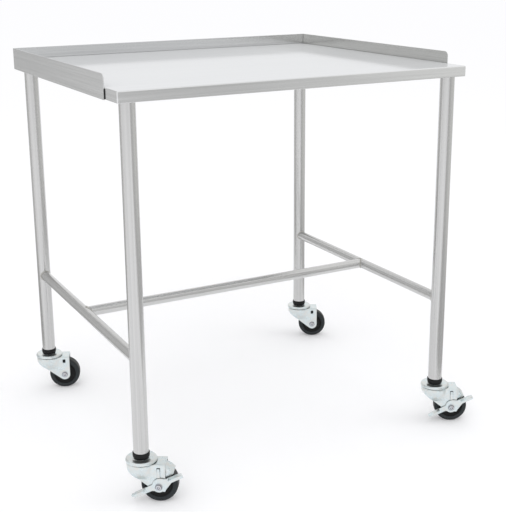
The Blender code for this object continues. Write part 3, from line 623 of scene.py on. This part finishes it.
def plain_steel():
    return brushed("plain_steel", (0.42, 0.42, 0.43), (400.0, 400.0, 400.0), 0.36)


def weld_steel():
    """Weld metal, duller than the tubes, with a faint straw tint left by the heat."""
    return brushed("weld_steel", (0.55, 0.54, 0.51), (900.0, 900.0, 900.0), 0.38, 0.00003)


# The pan, its channels and the guards
class TABLE_OT_pan(bpy.types.Operator):
    """Folded pan with rounded bends, over its stiffening channels and corner plates"""
    bl_idname = "table.pan"
    bl_label = "Pan"

    def execute(self, context):
        s = context.scene.sheet_looks
        top = PAN_HIGH.z
        low = PAN_LOW.z
        sheet = s.thickness
        path = [(u, top - v) for u, v in arc((s.bend, s.bend), s.bend, 270, 180, 8)]
        path += [(u, low + v) for u, v in arc((s.edge * 3, s.edge * 3), s.edge * 3, 180, 270, 5)]
        path += [(s.lip - s.edge, low), (s.lip, low + s.edge), (s.lip, low + sheet - s.edge)]
        path += [(s.lip - s.edge, low + sheet), (sheet, low + sheet), (sheet, top - sheet)]
        half_x = (PAN_HIGH.x - PAN_LOW.x) / 2
        half_y = (PAN_HIGH.y - PAN_LOW.y) / 2
        middle = Vector(((PAN_HIGH.x + PAN_LOW.x) / 2, (PAN_HIGH.y + PAN_LOW.y) / 2, 0.0))
        loops = []
        for moved, z in path:
            corner = max(s.corner - moved, s.corner / 6)
            loop = []
            for sx, sy, start in ((1, 1, 0), (-1, 1, 90), (-1, -1, 180), (1, -1, 270)):
                centre = (sx * (half_x - moved - corner), sy * (half_y - moved - corner))
                loop += [middle + Vector((x, y, z)) for x, y in arc(centre, corner, start, start + 90, 6)]
            loops.append(loop)
        placed("pan", loft("pan", loops), satin("x"), ["worktop"])
        for node in ("front_channel", "rear_channel", *(name + "_leg_plate" for name in CASTERS)):
            dress(node, satin("x"))
        return {"FINISHED"}


class TABLE_OT_guards(bpy.types.Operator):
    """Low guards at the back and both sides, and a black bead of painted shadow at the front ends of the
    side guards
    """
    bl_idname = "table.guards"
    bl_label = "Guards"

    def execute(self, context):
        s = context.scene.sheet_looks
        # The right guard gets painted shade on its faces towards -x
        for name, dull in (("left_guard", 0.0), ("right_guard", 0.36)):
            low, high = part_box(name)
            nose = s.guard_corner
            corners = slab(low.y, low.z, high.y, high.z, STRIP_CORNER, STRIP_CORNER)[:3]
            corners += [(y, z, 0.0) for y, z in arc((low.y + nose, high.z - nose), nose, 90, 180, 14)]
            mesh = plate(name + "_strip", corners, low.x, high.x, END_VIEW, s.edge)
            placed(name + "_strip", mesh, satin("y", dull), [name])
            # A black bead of painted shadow, laid where the guard's front end leaves a shadow gap
            corners = slab(low.x, low.y - s.seal, high.x, low.y + SHADOW_BEAD_BITE, s.seal * 0.6, 0.0)
            mesh = plate(name + "_seal", corners, low.z + s.seal, PAN_HIGH.z - s.bend)
            sealant = moulded_rubber("sealant", (0.05, 0.05, 0.05), 0.6)
            placed(name + "_seal", mesh, sealant)
        low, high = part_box("back_guard")
        corners = slab(low.x, low.z, high.x, high.z, STRIP_CORNER, STRIP_CORNER)
        mesh = plate("back_guard_strip", corners, -high.y, -low.y, SIDE_VIEW, s.edge)
        placed("back_guard_strip", mesh, satin("x"), ["back_guard"])
        return {"FINISHED"}


# Legs and braces
def saddle_points(start, along, across, up, radius, seat, sides):
    """Loop where a tube of one radius meets a round seat about the up axis."""
    loop = []
    for point in ring(radius, 0.0, sides):
        reach = math.sqrt(max(seat ** 2 - point.x ** 2, 0.0))
        loop.append(start + across * point.x + up * point.y + along * reach)
    return loop


def coped_tube(name, start, end, up, radius, wall, seat, sides):
    """Tube with saddle-cut ends against round members about the up axis."""
    along = (end - start).normalized()
    across = along.cross(up)
    skins = ((start, along, radius), (end, -along, radius), (end, -along, radius - wall),
             (start, along, radius - wall))
    loops = [saddle_points(at, way, across, up, size, seat, sides) for at, way, size in skins]
    return loft(name, loops, closed=True)


def weld_bead(name, start, along, up, radius, seat, bead, ripples):
    """Rippled weld round the end of a coped tube."""
    across = along.cross(up)
    count = ripples * 8
    path = saddle_points(start, along, across, up, radius, seat, count)
    centre = sum(path, Vector()) / count
    loops = []
    for i, point in enumerate(path):
        ahead = (path[(i + 1) % count] - path[i - 1]).normalized()
        out = point - centre
        out = (out - along * out.dot(along)).normalized()
        side = ahead.cross(out).normalized()
        size = bead * (1.0 + 0.13 * math.cos(2 * math.pi * ripples * i / count))
        loops.append([point + (out * rim.x + side * rim.y) * size for rim in ring(1.0, 0.0, 12)])
    return loft(name, loops, closed=True, sharp=80.0)


class TABLE_OT_tubes(bpy.types.Operator):
    """Tubular legs and the H-brace, with rippled weld beads at every joint"""
    bl_idname = "table.tubes"
    bl_label = "Legs and braces"

    def execute(self, context):
        t = context.scene.tube_looks
        low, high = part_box("front_left_leg")
        leg = (high.x - low.x) / 2
        edge = 0.0004
        bite = 0.0002
        tube_profile = corner_path([(leg, low.z, edge), (leg, high.z, 0.0), (leg - t.wall, high.z, 0.0),
                                    (leg - t.wall, low.z, edge)])
        bead_profile = [(leg - bite + t.bead * 1.1 * u, high.z + bite - t.bead * 1.3 * v)
                        for u, v in arc((0, 0), 1.0, 0, 90, 6)] + [(leg - 2 * bite, high.z)]
        tube = turned("leg_tube", tube_profile, t.sides, bored=True)
        bead = turned("leg_top_weld", bead_profile, t.sides, bored=True)
        axes = {}
        for name in CASTERS:
            low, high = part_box(name + "_leg")
            axes[name] = Vector(((low.x + high.x) / 2, (low.y + high.y) / 2, 0.0))
            matrix = Matrix.Translation(axes[name])
            placed(name + "_leg_tube", tube, tube_steel("z"), [name + "_leg"], matrix)
            placed(name + "_leg_top_weld", bead, weld_steel(), matrix=matrix)
        low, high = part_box("left_brace")
        brace = (high.z - low.z) / 2
        level = Vector((0, 0, (high.z + low.z) / 2))
        for side in ("left", "right"):
            start = axes["front_" + side] + level
            end = axes["rear_" + side] + level
            self.member(t, side + "_brace", start, end, Vector((0, 0, 1)), brace, leg + SEAM, leg, "y",
                        (side + "_brace_front_weld", side + "_brace_rear_weld"))
        low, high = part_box("cross_brace")
        middle = (low.y + high.y) / 2
        start = Vector((axes["front_left"].x, middle, level.z))
        end = Vector((axes["front_right"].x, middle, level.z))
        self.member(t, "cross_brace", start, end, Vector((0, 1, 0)), brace, brace + SEAM, brace + SEAM, "x",
                    ("cross_brace_left_weld", "cross_brace_right_weld"))
        return {"FINISHED"}

    def member(self, t, node, start, end, up, radius, seat, bead_seat, axis, welds):
        """A brace with its two weld beads, between round members about the up axis."""
        mesh = coped_tube(node + "_tube", start, end, up, radius, t.wall, seat, t.sides)
        placed(node + "_tube", mesh, tube_steel(axis), [node])
        way = Vector((1, 0, 0)) if axis == "x" else Vector((0, 1, 0))
        for name, at, along in zip(welds, (start, end), (way, -way)):
            mesh = weld_bead(name, at, along, up, radius, bead_seat, t.bead, t.ripples)
            placed(name, mesh, weld_steel())


# Casters
class TABLE_OT_caster_mounts(bpy.types.Operator):
    """Rubber collar, washer, king bolt and raceway cap under each leg"""
    bl_idname = "table.caster_mounts"
    bl_label = "Caster mounts"

    def execute(self, context):
        collar_rubber = moulded_rubber("collar_rubber", (0.010, 0.010, 0.011), 0.55)
        body = "table_frame"
        name = CASTERS[0]
        outfit([("rubber_collar", self.collar(name), collar_rubber, "soft_rubber", body, "expander"),
                ("cap", self.cap(name), zinc(), "zinc_plate", body, "raceway_cap"),
                ("king_bolt", self.stem(name), zinc(), "zinc_plate", body, "stem"),
                ("balls", self.balls(name), plain_steel(), "plain_steel", body, "swivel_bearing")],
               stem_place)
        return {"FINISHED"}

    def collar(self, name):
        low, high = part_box(name + "_expander")
        leg_low, leg_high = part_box(name + "_leg")
        rim = (high.x - low.x) / 2
        sleeve = (leg_high.x - leg_low.x) / 2 - 0.0018
        rim_top = leg_low.z - SEAM
        bore = 0.0051
        hollow = 0.0149
        skirt = low.z - 0.0016
        profile = [(bore, low.z, 0), (hollow, low.z, 0), (hollow, skirt, 0.0002),
                   (rim - 0.0012, skirt, 0.0007), (rim, low.z + 0.0012, 0.0012), (rim, rim_top, 0.0009),
                   (sleeve, rim_top, 0), (sleeve, high.z, 0.0006), (bore, high.z, 0)]
        return turned("rubber_collar", corner_path(profile), 96, bored=True)

    def cap(self, name):
        low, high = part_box(name + "_raceway_cap")
        outer = (high.x - low.x) / 2
        boss = 0.017
        rise = 0.0018
        bore = 0.0052
        sheet = 0.0022
        top = high.z
        flat = top - rise
        under = flat - sheet
        profile = [(bore, top, 0), (boss - 0.003, top, 0.003), (boss + 0.003, flat, 0.0034),
                   (outer - 0.003, flat, 0.0016), (outer - 0.0006, flat - 0.0016, 0.0026),
                   (outer, flat - 0.0036, 0.0012), (outer, low.z, 0.0003), (outer - sheet, low.z, 0.0003),
                   (outer - sheet, under, 0.0006), (boss - 0.004, under, 0.001), (bore, under + rise, 0)]
        return turned("raceway_cap", corner_path(profile, 5), 128, bored=True)

    def stem(self, name):
        """King bolt from its head up, with the collar over the cap, the washer and the nut in the leg."""
        low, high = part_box(name + "_stem")
        rod = 0.00475
        head = 0.008
        head_top = low.z + 0.005
        collar = 0.0145
        collar_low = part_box(name + "_raceway_cap")[1].z + SEAM
        collar_top = collar_low + 0.0014
        washer = 0.012
        washer_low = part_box(name + "_expander")[1].z + SEAM
        washer_top = washer_low + 0.0018
        nut = 0.0085
        nut_top = washer_low + 0.0098
        chamfer = 0.0008
        profile = [(0.0, low.z, 0), (head * 0.86, low.z, 0.0004), (head, low.z + 0.0011, 0.0004),
                   (head, head_top, 0.0002), (rod, head_top, 0), (rod, collar_low, 0),
                   (collar, collar_low, 0.0004), (collar, collar_top, 0.0004), (rod, collar_top, 0),
                   (rod, washer_low, 0), (washer, washer_low, 0.0003), (washer, washer_top, 0.0003),
                   (nut, washer_top, 0), (nut, nut_top, 0.0008), (rod, nut_top, 0),
                   (rod, high.z - chamfer, 0), (rod - chamfer, high.z, 0), (0.0, high.z, 0)]
        return turned("king_bolt", corner_path(profile), 72)

    def balls(self, name):
        """Loose balls in the swivel, set round the track."""
        low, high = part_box(name + "_swivel_bearing")
        size = (high.z - low.z) / 2
        track = (high.x - low.x) / 2 - size
        bm = bmesh.new()
        count = int(2 * math.pi * track / (size * 2.08))
        for i in range(count):
            a = 2 * math.pi * i / count
            where = Vector((track * math.cos(a), track * math.sin(a), (low.z + high.z) / 2))
            bmesh.ops.create_icosphere(bm, subdivisions=2, radius=size, matrix=Matrix.Translation(where))
        return finished(bm, "swivel_balls", 60.0)


def eased(first, second, blend, way):
    """The larger (way 1) or smaller (way -1) of two lengths, run together smoothly."""
    near = max(blend - abs(first - second), 0.0)
    return way * (max(way * first, way * second) + near * near / (4 * blend))


def fork_face(c):
    """Outer face of the fork's legs, from the middle of the wheel."""
    return c.tread / 2 + FORK_GAP + c.sheet


def fork_level(c, moved, z):
    """Level section of the fork: bowled about the stem, less so lower down, with straight legs behind."""
    half = fork_face(c) - moved
    bowl = c.bowl / 2 - moved
    depth = min((c.crown + c.sheet - z) / c.bowl_depth, 1.0)
    fullness = (1 - depth ** BOWL_FALL) ** BOWL_SWELL
    side = []
    for k in range(FORK_STATIONS + 1):
        x = -bowl * math.cos(math.pi * k / FORK_STATIONS)
        wide = math.sqrt(max(bowl * bowl - x * x, 0.0))
        bulge = half + (wide - half) * fullness
        if x < 0:
            y = eased(wide, bulge, FRONT_CREASE * (1 - fullness) + LEAST_BLEND, -1)
        else:
            y = eased(half, bulge, SIDE_CREASE * fullness + LEAST_BLEND, 1)
        side.append((x, max(y, 0.0)))
    side.append((c.trail + c.tail * 3 - moved, half))
    points = side + [(x, -y) for x, y in reversed(side[1:])]
    return [Vector((x, y, z)) for x, y in points]


class TABLE_OT_forks(bpy.types.Operator):
    """Stamped forks with a bowled crown, windows and rounded edges"""
    bl_idname = "table.forks"
    bl_label = "Forks"

    def execute(self, context):
        mesh = self.fork(context.scene.caster_looks)
        outfit([("stamped_fork", mesh, zinc(), "zinc_plate", "{}_swivel", "fork")], caster_place)
        return {"FINISHED"}

    def fork(self, c):
        """Blank of the bowl and legs, cut to its outline from the side, then drilled and pierced."""
        top = c.crown + c.sheet
        bend = 0.0045
        steps = 18
        path = [(u, top - v) for u, v in arc((bend, bend), bend, 270, 180, 8)]
        levels = [top - bend - (c.bowl_depth - bend) * (i + 1) / steps for i in range(steps)]
        path += [(0.0, z) for z in levels + [0.0]]
        path += [(c.sheet, z) for z in [0.0] + levels[::-1]]
        small = bend - c.sheet
        path += [(c.sheet + u, c.crown - v) for u, v in arc((small, small), small, 180, 270, 4)]
        blank = loft("fork_blank", [fork_level(c, moved, z) for moved, z in path])
        lip = Vector((-c.bowl / 2 - bend, c.crown - bend))
        axle = Vector((c.trail, c.wheel / 2))
        away = lip - axle
        tangent = math.degrees(math.atan2(away.y, away.x)) + math.degrees(math.acos(c.tail / away.length))
        high = top + c.tail
        outline = [(c.trail + c.tail, high)] + arc(axle, c.tail, 360, tangent, 28)
        outline += [(lip.x, lip.y), (lip.x, high)]
        wide = c.bowl
        side = prism("fork_side", outline, -wide, wide, SIDE_VIEW)
        king = 0.00505
        king_hole = turned("king_hole", [(king, c.crown - 0.01), (king, top + 0.01)], 40)
        drill = Matrix.Translation((c.trail, 0, c.wheel / 2)) @ ALONG_Y
        axle_hole = turned("axle_hole", [(AXLE_HOLE, -wide), (AXLE_HOLE, wide)], 40, axes=drill)
        half = 0.0036
        corner = 0.0008
        window_top = c.crown - WINDOW_DROP
        corners = slab(c.trail - half, window_top - 0.0094, c.trail + half, window_top, corner, corner)
        window = prism("window", corner_path(corners), -wide, wide, SIDE_VIEW)
        steps = [("INTERSECT", side), ("DIFFERENCE", king_hole), ("DIFFERENCE", axle_hole),
                 ("DIFFERENCE", window)]
        return carved("stamped_fork", blank, steps, 0.00035)


class TABLE_OT_wheels(bpy.types.Operator):
    """Hard rubber wheels with a raised rim ring, a dished face and a proud hub"""
    bl_idname = "table.wheels"
    bl_label = "Wheels"

    def execute(self, context):
        c = context.scene.caster_looks
        rubber = moulded_rubber("wheel_rubber", tuple(c.rubber), 0.44, 0.35)
        outfit([("rubber_wheel", self.wheel(c), rubber, "hard_rubber", "{}_roller", "wheel"),
                ("bushing", self.sleeve(c), plain_steel(), "plain_steel", "{}_swivel", "wheel_bushing")],
               axle_place)
        return {"FINISHED"}

    def wheel(self, c):
        """Half of the profile from the bore out over hub, dish, rim ring and shoulder, then mirrored."""
        radius = c.wheel / 2
        half = c.tread / 2
        bore = 0.0068
        hub = 0.013
        ring_in = radius - 0.0107
        upper = [(bore, half + 0.002, 0.0003), (hub - 0.0035, half + 0.002, 0.0003),
                 (hub - 0.0032, half + 0.0012, 0.0002), (hub - 0.0008, half + 0.0012, 0.0006),
                 (hub + 0.0012, half - 0.0028, 0.0012), (hub + 0.0044, half - 0.0032, 0.0004),
                 (ring_in - 0.005, half - 0.0032, 0.0008), (ring_in - 0.0012, half - 0.0022, 0.001),
                 (ring_in + 0.0002, half - 0.0002, 0.0008), (radius - 0.005, half, 0.0012),
                 (radius - 0.001, half - 0.0018, 0.0026), (radius - 0.00005, half - 0.007, 0.003)]
        seam = [(radius, 0.0006, 0.0), (radius + 0.00018, 0.0, 0.0), (radius, -0.0006, 0.0)]
        lower = [(r, -z, e) for r, z, e in reversed(upper)]
        return turned("rubber_wheel", corner_path(upper + seam + lower), 144, bored=True, axes=ALONG_Y)

    def sleeve(self, c):
        half = c.tread / 2 + 0.0037
        outer = 0.0065
        profile = [(outer, half, 0.0003), (outer, -half, 0.0003), (AXLE_HOLE, -half, 0.0),
                   (AXLE_HOLE, half, 0.0)]
        return turned("bushing", corner_path(profile), 64, bored=True, axes=ALONG_Y)


class TABLE_OT_axles(bpy.types.Operator):
    """Flanged axle bolts with dished heads, and their lock nuts"""
    bl_idname = "table.axles"
    bl_label = "Axles"

    def execute(self, context):
        c = context.scene.caster_looks
        seat = fork_face(c) + SEAM
        nut = self.nut(seat)
        # Dark rings of painted shade at the groove round the head and in its dished centre
        bolt_zinc = zinc_plate("bolt_zinc", (0.67, 0.68, 0.72), 0.38, (0.0062, 0.0024))
        lever = context.scene.brake_looks.sheet + SEAM
        for casters, bolt_seat in ((BRAKED, seat + lever), (CASTERS[2:], seat)):
            bolt = self.bolt(bolt_seat, seat + 0.0085)
            outfit([("bolt", bolt, bolt_zinc, "zinc_plate", "{}_swivel", "axle_bolt"),
                    ("lock_nut", nut, zinc(), "zinc_plate", "{}_swivel", "axle_nut")], axle_place, casters)
        return {"FINISHED"}

    def bolt(self, seat, far):
        """Threaded end, shank, flange and dished head, along the axle."""
        shank = 0.004
        flange = 0.0075
        profile = [(0.0, -far, 0), (0.0034, -far, 0.0002), (shank, -far + 0.0008, 0)]
        z = -far + 0.0012
        while z < -far + 0.0075:
            profile += [(0.0037, z, 0), (shank, z + 0.0005, 0)]
            z += 0.001
        profile += [(shank, seat, 0), (flange, seat, 0.0002), (flange, seat + 0.0012, 0.0004),
                    (0.0059, seat + 0.0015, 0.0003), (0.0055, seat + 0.0036, 0.0012),
                    (0.0031, seat + 0.0042, 0.0005), (0.0024, seat + 0.003, 0.0005), (0.0, seat + 0.0028, 0)]
        return turned("axle_bolt", corner_path(profile), 64, axes=ALONG_Y)

    def nut(self, seat):
        """Hexagon nut, its corners chamfered and its collar turned in."""
        far = seat + 0.0065
        corner = 0.0075
        hexagon = turned("nut_hexagon", [(corner, -seat), (corner, -far)], 6, axes=ALONG_Y, sharp=20)
        wide = corner * 1.05
        profile = [(corner * 0.90, -seat + 0.0001), (wide, -seat - 0.0011), (wide, -far + 0.0016),
                   (corner * 0.86, -far + 0.0001)]
        cone = turned("nut_cone", profile, 64, axes=ALONG_Y)
        bore = turned("nut_bore", [(AXLE_HOLE, 0.0), (AXLE_HOLE, -far - 0.01)], 40, axes=ALONG_Y)
        return carved("lock_nut", hexagon, [("INTERSECT", cone), ("DIFFERENCE", bore)], 0.00018, 20.0)


class TABLE_OT_brakes(bpy.types.Operator):
    """Double pedal levers and the brake shoes they press on the front wheels"""
    bl_idname = "table.brakes"
    bl_label = "Brakes"

    # Radius at which the cam starts, how far it falls, and the degrees where it starts and that it spans
    cam_radius = 0.0196
    cam_fall = 0.0036
    cam_start = 48.0
    cam_span = 56.0

    def execute(self, context):
        c = context.scene.caster_looks
        b = context.scene.brake_looks
        outfit([("lever", self.lever(c, b), zinc(), "zinc_plate", "{}_pedal", "brake_lever"),
                ("shoe_plate", self.shoe(c, b), zinc(), "zinc_plate", "{}_shoe", "brake_shoe")],
               axle_place, BRAKED)
        return {"FINISHED"}

    def cam(self, angle):
        return self.cam_radius - self.cam_fall * (angle - self.cam_start) / self.cam_span

    def lever(self, c, b):
        """Plate with a cam on top, a bulge below and a pedal turned out at each end, bored for the axle."""
        outer = fork_face(c) + SEAM + b.sheet
        inner = outer - b.sheet + 0.0005
        top = 0.010
        low = -0.002
        outline = [(-b.reach, low, 0.0015), (-0.016, low, 0.002)]
        outline += [(u, v, 0.0) for u, v in arc((0.0062, -0.0103), 0.004, -89, -29, 8)]
        outline += [(0.028, low, 0.004), (b.reach, low, 0.0015), (b.reach, top - 0.002, 0.0015)]
        outline += [(b.reach - 0.008, top, 0.004), (self.cam_radius, top, 0.003)]
        for i in range(13):
            angle = self.cam_start + self.cam_span * i / 12
            turn = math.radians(angle)
            outline.append((self.cam(angle) * math.cos(turn), self.cam(angle) * math.sin(turn), 0.0))
        outline += [(-top, top, 0.003), (-b.reach + 0.008, top, 0.004), (-b.reach, top - 0.002, 0.0015)]
        flat = plate("lever_plate", outline, inner, outer, SIDE_VIEW, 0.0003)
        mirrored = Matrix.Scale(-1, 4, (0, 1, 0))
        section = [(0.0, top - 0.008, 0), (b.sheet, top - 0.008, 0), (b.sheet, top - b.sheet, 0.0013),
                   (b.depth, top - b.sheet, 0.0), (b.depth, top, 0.0), (0.0, top, 0.0038)]
        section = corner_path(section, 6)
        steps = []
        for side in (-1, 1):
            start, end = sorted((side * (b.reach - b.pedal), side * b.reach))
            angle_piece = loft("pedal_angle", [[Vector((u, -(inner + w), v)) for w, v in section]
                                               for u in (start, end)])
            pad = slab(start, inner - 0.001, end, inner + b.depth, 0, 0.0046)
            stamp = prism("pedal_pad", corner_path(pad, 8), -0.01, 0.02, mirrored)
            steps.append(("UNION", carved("pedal", angle_piece, [("INTERSECT", stamp)], 0.0003)))
        hole = turned("lever_hole", [(AXLE_HOLE, -0.05), (AXLE_HOLE, 0.05)], 40, axes=ALONG_Y)
        mesh = carved("brake_lever", flat, steps + [("DIFFERENCE", hole)])
        mesh.transform(Matrix.Rotation(-b.tilt, 4, "Y"))
        return mesh

    def shoe(self, c, b):
        """Saddle over the back of the wheel, with a side plate, two ears, the cam's follower and a ridge."""
        wheel = c.wheel / 2
        lead = 0.0009
        inner_r = wheel + SHOE_GAP
        outer_r = inner_r + b.shoe_sheet
        skirt = inner_r - SHOE_SKIRT
        inner_y = c.tread / 2 + SHOE_SIDE
        outer_y = inner_y + b.shoe_sheet
        section = [(skirt, outer_y, 0.0005), (outer_r, outer_y, 0.0022), (outer_r, -outer_y, 0.0022),
                   (skirt, -outer_y, 0.0005), (skirt, -inner_y, 0.0003), (inner_r, -inner_y, 0.0008),
                   (inner_r, inner_y, 0.0008), (skirt, inner_y, 0.0003)]
        section = corner_path(section)

        def curve(radius, angle):
            a = math.radians(angle)
            return radius * math.sin(a) - lead, radius * math.cos(a) + SHOE_LIFT

        loops = []
        for i in range(37):
            places = [curve(r, -9.0 + 59.0 * i / 36) for r, y in section]
            loops.append([Vector((x, y, z)) for (x, z), (r, y) in zip(places, section)])
        saddle = loft("shoe_saddle", loops)
        half = 0.0028
        ear_low = wheel + SHOE_GAP + SHOE_LIFT - SHOE_SKIRT + SEAM
        ear_top = c.crown - WINDOW_DROP - 0.0015 - wheel
        ear_in = c.tread / 2 + SHOE_SIDE + b.shoe_sheet / 2
        fork_outer = fork_face(c)
        strip_in = fork_outer + SEAM
        strip_out = strip_in + b.shoe_sheet
        strip_low = self.cam(90 - math.degrees(b.tilt)) + 0.0006
        x = 0.0105
        crown = c.crown - SEAM - wheel
        ridge_low = math.sqrt(inner_r ** 2 - (x + lead) ** 2) + SHOE_LIFT + b.shoe_sheet / 2
        ear = slab(-half, ear_low, half, ear_top, 0.0, 0.001)
        strip = slab(-half, strip_low, half, ear_top, 0.0006, 0.001)
        ridge = [(x - 0.002, ridge_low, 0.0), (x + 0.002, ridge_low, 0.0), (x + 0.001, crown, 0.0005),
                 (x - 0.001, crown, 0.0005)]
        front = curve(0.0355, 20.0)
        rear = curve(0.0355, 47.0)
        cheek = [(front[0], 0.015, 0.0012), (rear[0], 0.020, 0.0016), (*rear, 0.0), (*front, 0.0)]
        blocks = (("side_plate", cheek, inner_y + 0.0001, outer_y - 0.0001, 0.0003),
                  ("near_ear", ear, ear_in, strip_out, 0.0002),
                  ("far_ear", ear, -fork_outer, -ear_in, 0.0002),
                  ("follower", strip, strip_in, strip_out, 0.0003),
                  ("fulcrum", ridge, -c.tread / 2, c.tread / 2, 0.0003))
        steps = [("UNION", plate(label, corners, low, high, SIDE_VIEW, edge))
                 for label, corners, low, high, edge in blocks]
        return carved("brake_shoe", saddle, steps)


# Studio, with the camera's turn, dip and roll in degrees
CAMERA_PLACE = (-1.02536, -2.03165, 1.07138)
CAMERA_TURN = -28.073
CAMERA_DIP = 14.917
CAMERA_ROLL = -0.471
CAMERA_SHIFT = -0.07
FLOOR_REACH = 60.0


class TABLE_OT_stage(bpy.types.Operator):
    """White floor, soft lamps and the camera"""
    bl_idname = "table.stage"
    bl_label = "Stage"

    def execute(self, context):
        s = context.scene.studio_looks
        self.floor(s)
        self.world(context, s)
        self.lamp("key_lamp", (-2.4, -2.6, 3.4), s.key)
        self.lamp("fill_lamp", (3.2, -1.6, 2.6), s.fill)
        for name, start, end in (("right_flag", -82.0, 26.0), ("left_flag", 104.0, 160.0)):
            self.flag(name, start, end, s)
        self.camera(context, s)
        context.scene.view_settings.view_transform = "Standard"
        return {"FINISHED"}

    def floor(self, s):
        """White floor, a little brighter for the camera and clear from beneath."""
        bm = bmesh.new()
        bmesh.ops.create_grid(bm, x_segments=8, y_segments=8, size=FLOOR_REACH)
        mesh = finished(bm, "floor")
        f = Finish("floor_white")
        plain = f.node("ShaderNodeBsdfDiffuse", {"Color": (*s.floor, 1.0)})
        glow = f.node("ShaderNodeEmission", {"Color": WHITE, "Strength": s.glow})
        lit = f.node("ShaderNodeAddShader", {0: plain, 1: glow})
        beneath = f.node("ShaderNodeNewGeometry", output=6)
        clear = f.node("ShaderNodeBsdfTransparent")
        one_way = f.mixed(beneath, f.mixed(f.sight(), plain, lit), clear)
        f.node("ShaderNodeOutputMaterial", {"Surface": one_way})
        mesh.materials.append(f.data)
        linked("floor", mesh)

    def world(self, context, s):
        """White where it is seen or mirrored, and a little dimmer as light."""
        f = Finish("studio_air", world=True)
        dim, white = (f.node("ShaderNodeBackground", {"Color": WHITE, "Strength": level})
                      for level in (s.sky, 1.0))
        f.node("ShaderNodeOutputWorld", {"Surface": f.mixed(f.sight(), dim, white)})
        context.scene.world = f.data

    def flag(self, name, start, end, s):
        """Grey studio wall and floor strip, seen only in the metal, which give the tubes darker sides."""
        bm = bmesh.new()
        rows = []
        for radius, height in ((s.flag_near, 0.002), (s.flag_far, 0.002), (s.flag_far, s.flag_height)):
            rows.append([bm.verts.new((x, y, height)) for x, y in arc((0.0, 0.0), radius, start, end, 24)])
        for inner, outer in zip(rows, rows[1:]):
            for i in range(len(inner) - 1):
                bm.faces.new((inner[i], inner[i + 1], outer[i + 1], outer[i]))
        flag = linked(name, finished(bm, name))
        f = Finish(name + "_grey")
        greys = ((0.22, shade(s.flag, 1.15)), (0.34, shade(s.flag, 0.82)), (0.60, s.flag), (0.68, s.flag),
                 (0.84, s.flag_right))
        rightward = f.split(f.place())[0] / (2 * s.flag_far) + 0.5
        stops = [(at, (*grey, 1.0)) for at, grey in greys]
        tone = f.node("ShaderNodeValToRGB", {"Fac": rightward}, stops=stops)
        f.surface(Base_Color=(0.0, 0.0, 0.0), Roughness=1.0, Specular_IOR_Level=0.0, Emission_Color=tone,
                  Emission_Strength=1.0)
        flag.data.materials.append(f.data)
        flag.visible_camera = False
        flag.visible_diffuse = False
        flag.visible_shadow = False

    def lamp(self, name, where, power):
        """Wide soft lamp that aims at the table's middle and isn't mirrored in the metal."""
        data = bpy.data.lights.new(name, "AREA")
        data.shape = "DISK"
        data.size = 2.6
        data.energy = power
        lamp = linked(name, data)
        lamp.location = where
        aim = Vector((0.0, 0.0, 0.4))
        lamp.rotation_euler = (aim - Vector(where)).to_track_quat("-Z", "Y").to_euler()
        lamp.visible_glossy = False

    def camera(self, context, s):
        data = bpy.data.cameras.new("camera")
        data.lens = s.lens
        data.sensor_width = 36.0
        data.shift_y = CAMERA_SHIFT
        data.clip_end = 200.0
        camera = linked("camera", data)
        yaw = Matrix.Rotation(math.radians(CAMERA_TURN), 3, "Z")
        pitch = Matrix.Rotation(math.radians(90 - CAMERA_DIP), 3, "X")
        roll = Matrix.Rotation(math.radians(CAMERA_ROLL), 3, "Z")
        camera.rotation_euler = (yaw @ pitch @ roll).to_euler()
        camera.location = CAMERA_PLACE
        context.scene.camera = camera


class TABLE_PT_looks(bpy.types.Panel):
    """Buttons for the table's pieces"""
    bl_idname = "TABLE_PT_looks"
    bl_label = "Instrument Table"
    bl_space_type = "VIEW_3D"
    bl_region_type = "UI"
    bl_category = "Instrument Table"

    def draw(self, context):
        for group in GROUPS:
            box = self.layout.box()
            settings = getattr(context.scene, group)
            for name in settings.bl_rna.properties.keys():
                if name not in ("name", "rna_type"):
                    box.prop(settings, name)
        for operator in OPERATORS:
            self.layout.operator(operator.bl_idname)


GROUPS = {
    "sheet_looks": SheetLooks,
    "tube_looks": TubeLooks,
    "caster_looks": CasterLooks,
    "brake_looks": BrakeLooks,
    "studio_looks": StudioLooks,
}
OPERATORS = (TABLE_OT_pan, TABLE_OT_guards, TABLE_OT_tubes, TABLE_OT_caster_mounts, TABLE_OT_forks,
             TABLE_OT_wheels, TABLE_OT_axles, TABLE_OT_brakes, TABLE_OT_stage)
CLASSES = (*GROUPS.values(), *OPERATORS, TABLE_PT_looks)


def register():
    for kind in CLASSES:
        bpy.utils.register_class(kind)
    for name, group in GROUPS.items():
        setattr(bpy.types.Scene, name, PointerProperty(type=group))


def unregister():
    for name in GROUPS:
        delattr(bpy.types.Scene, name)
    for kind in reversed(CLASSES):
        bpy.utils.unregister_class(kind)


def main():
    register()
    bpy.ops.table.pan()
    bpy.ops.table.guards()
    bpy.ops.table.tubes()
    bpy.ops.table.caster_mounts()
    bpy.ops.table.forks()
    bpy.ops.table.wheels()
    bpy.ops.table.axles()
    bpy.ops.table.brakes()
    bpy.ops.table.stage()


if __name__ == "__main__":
    main()
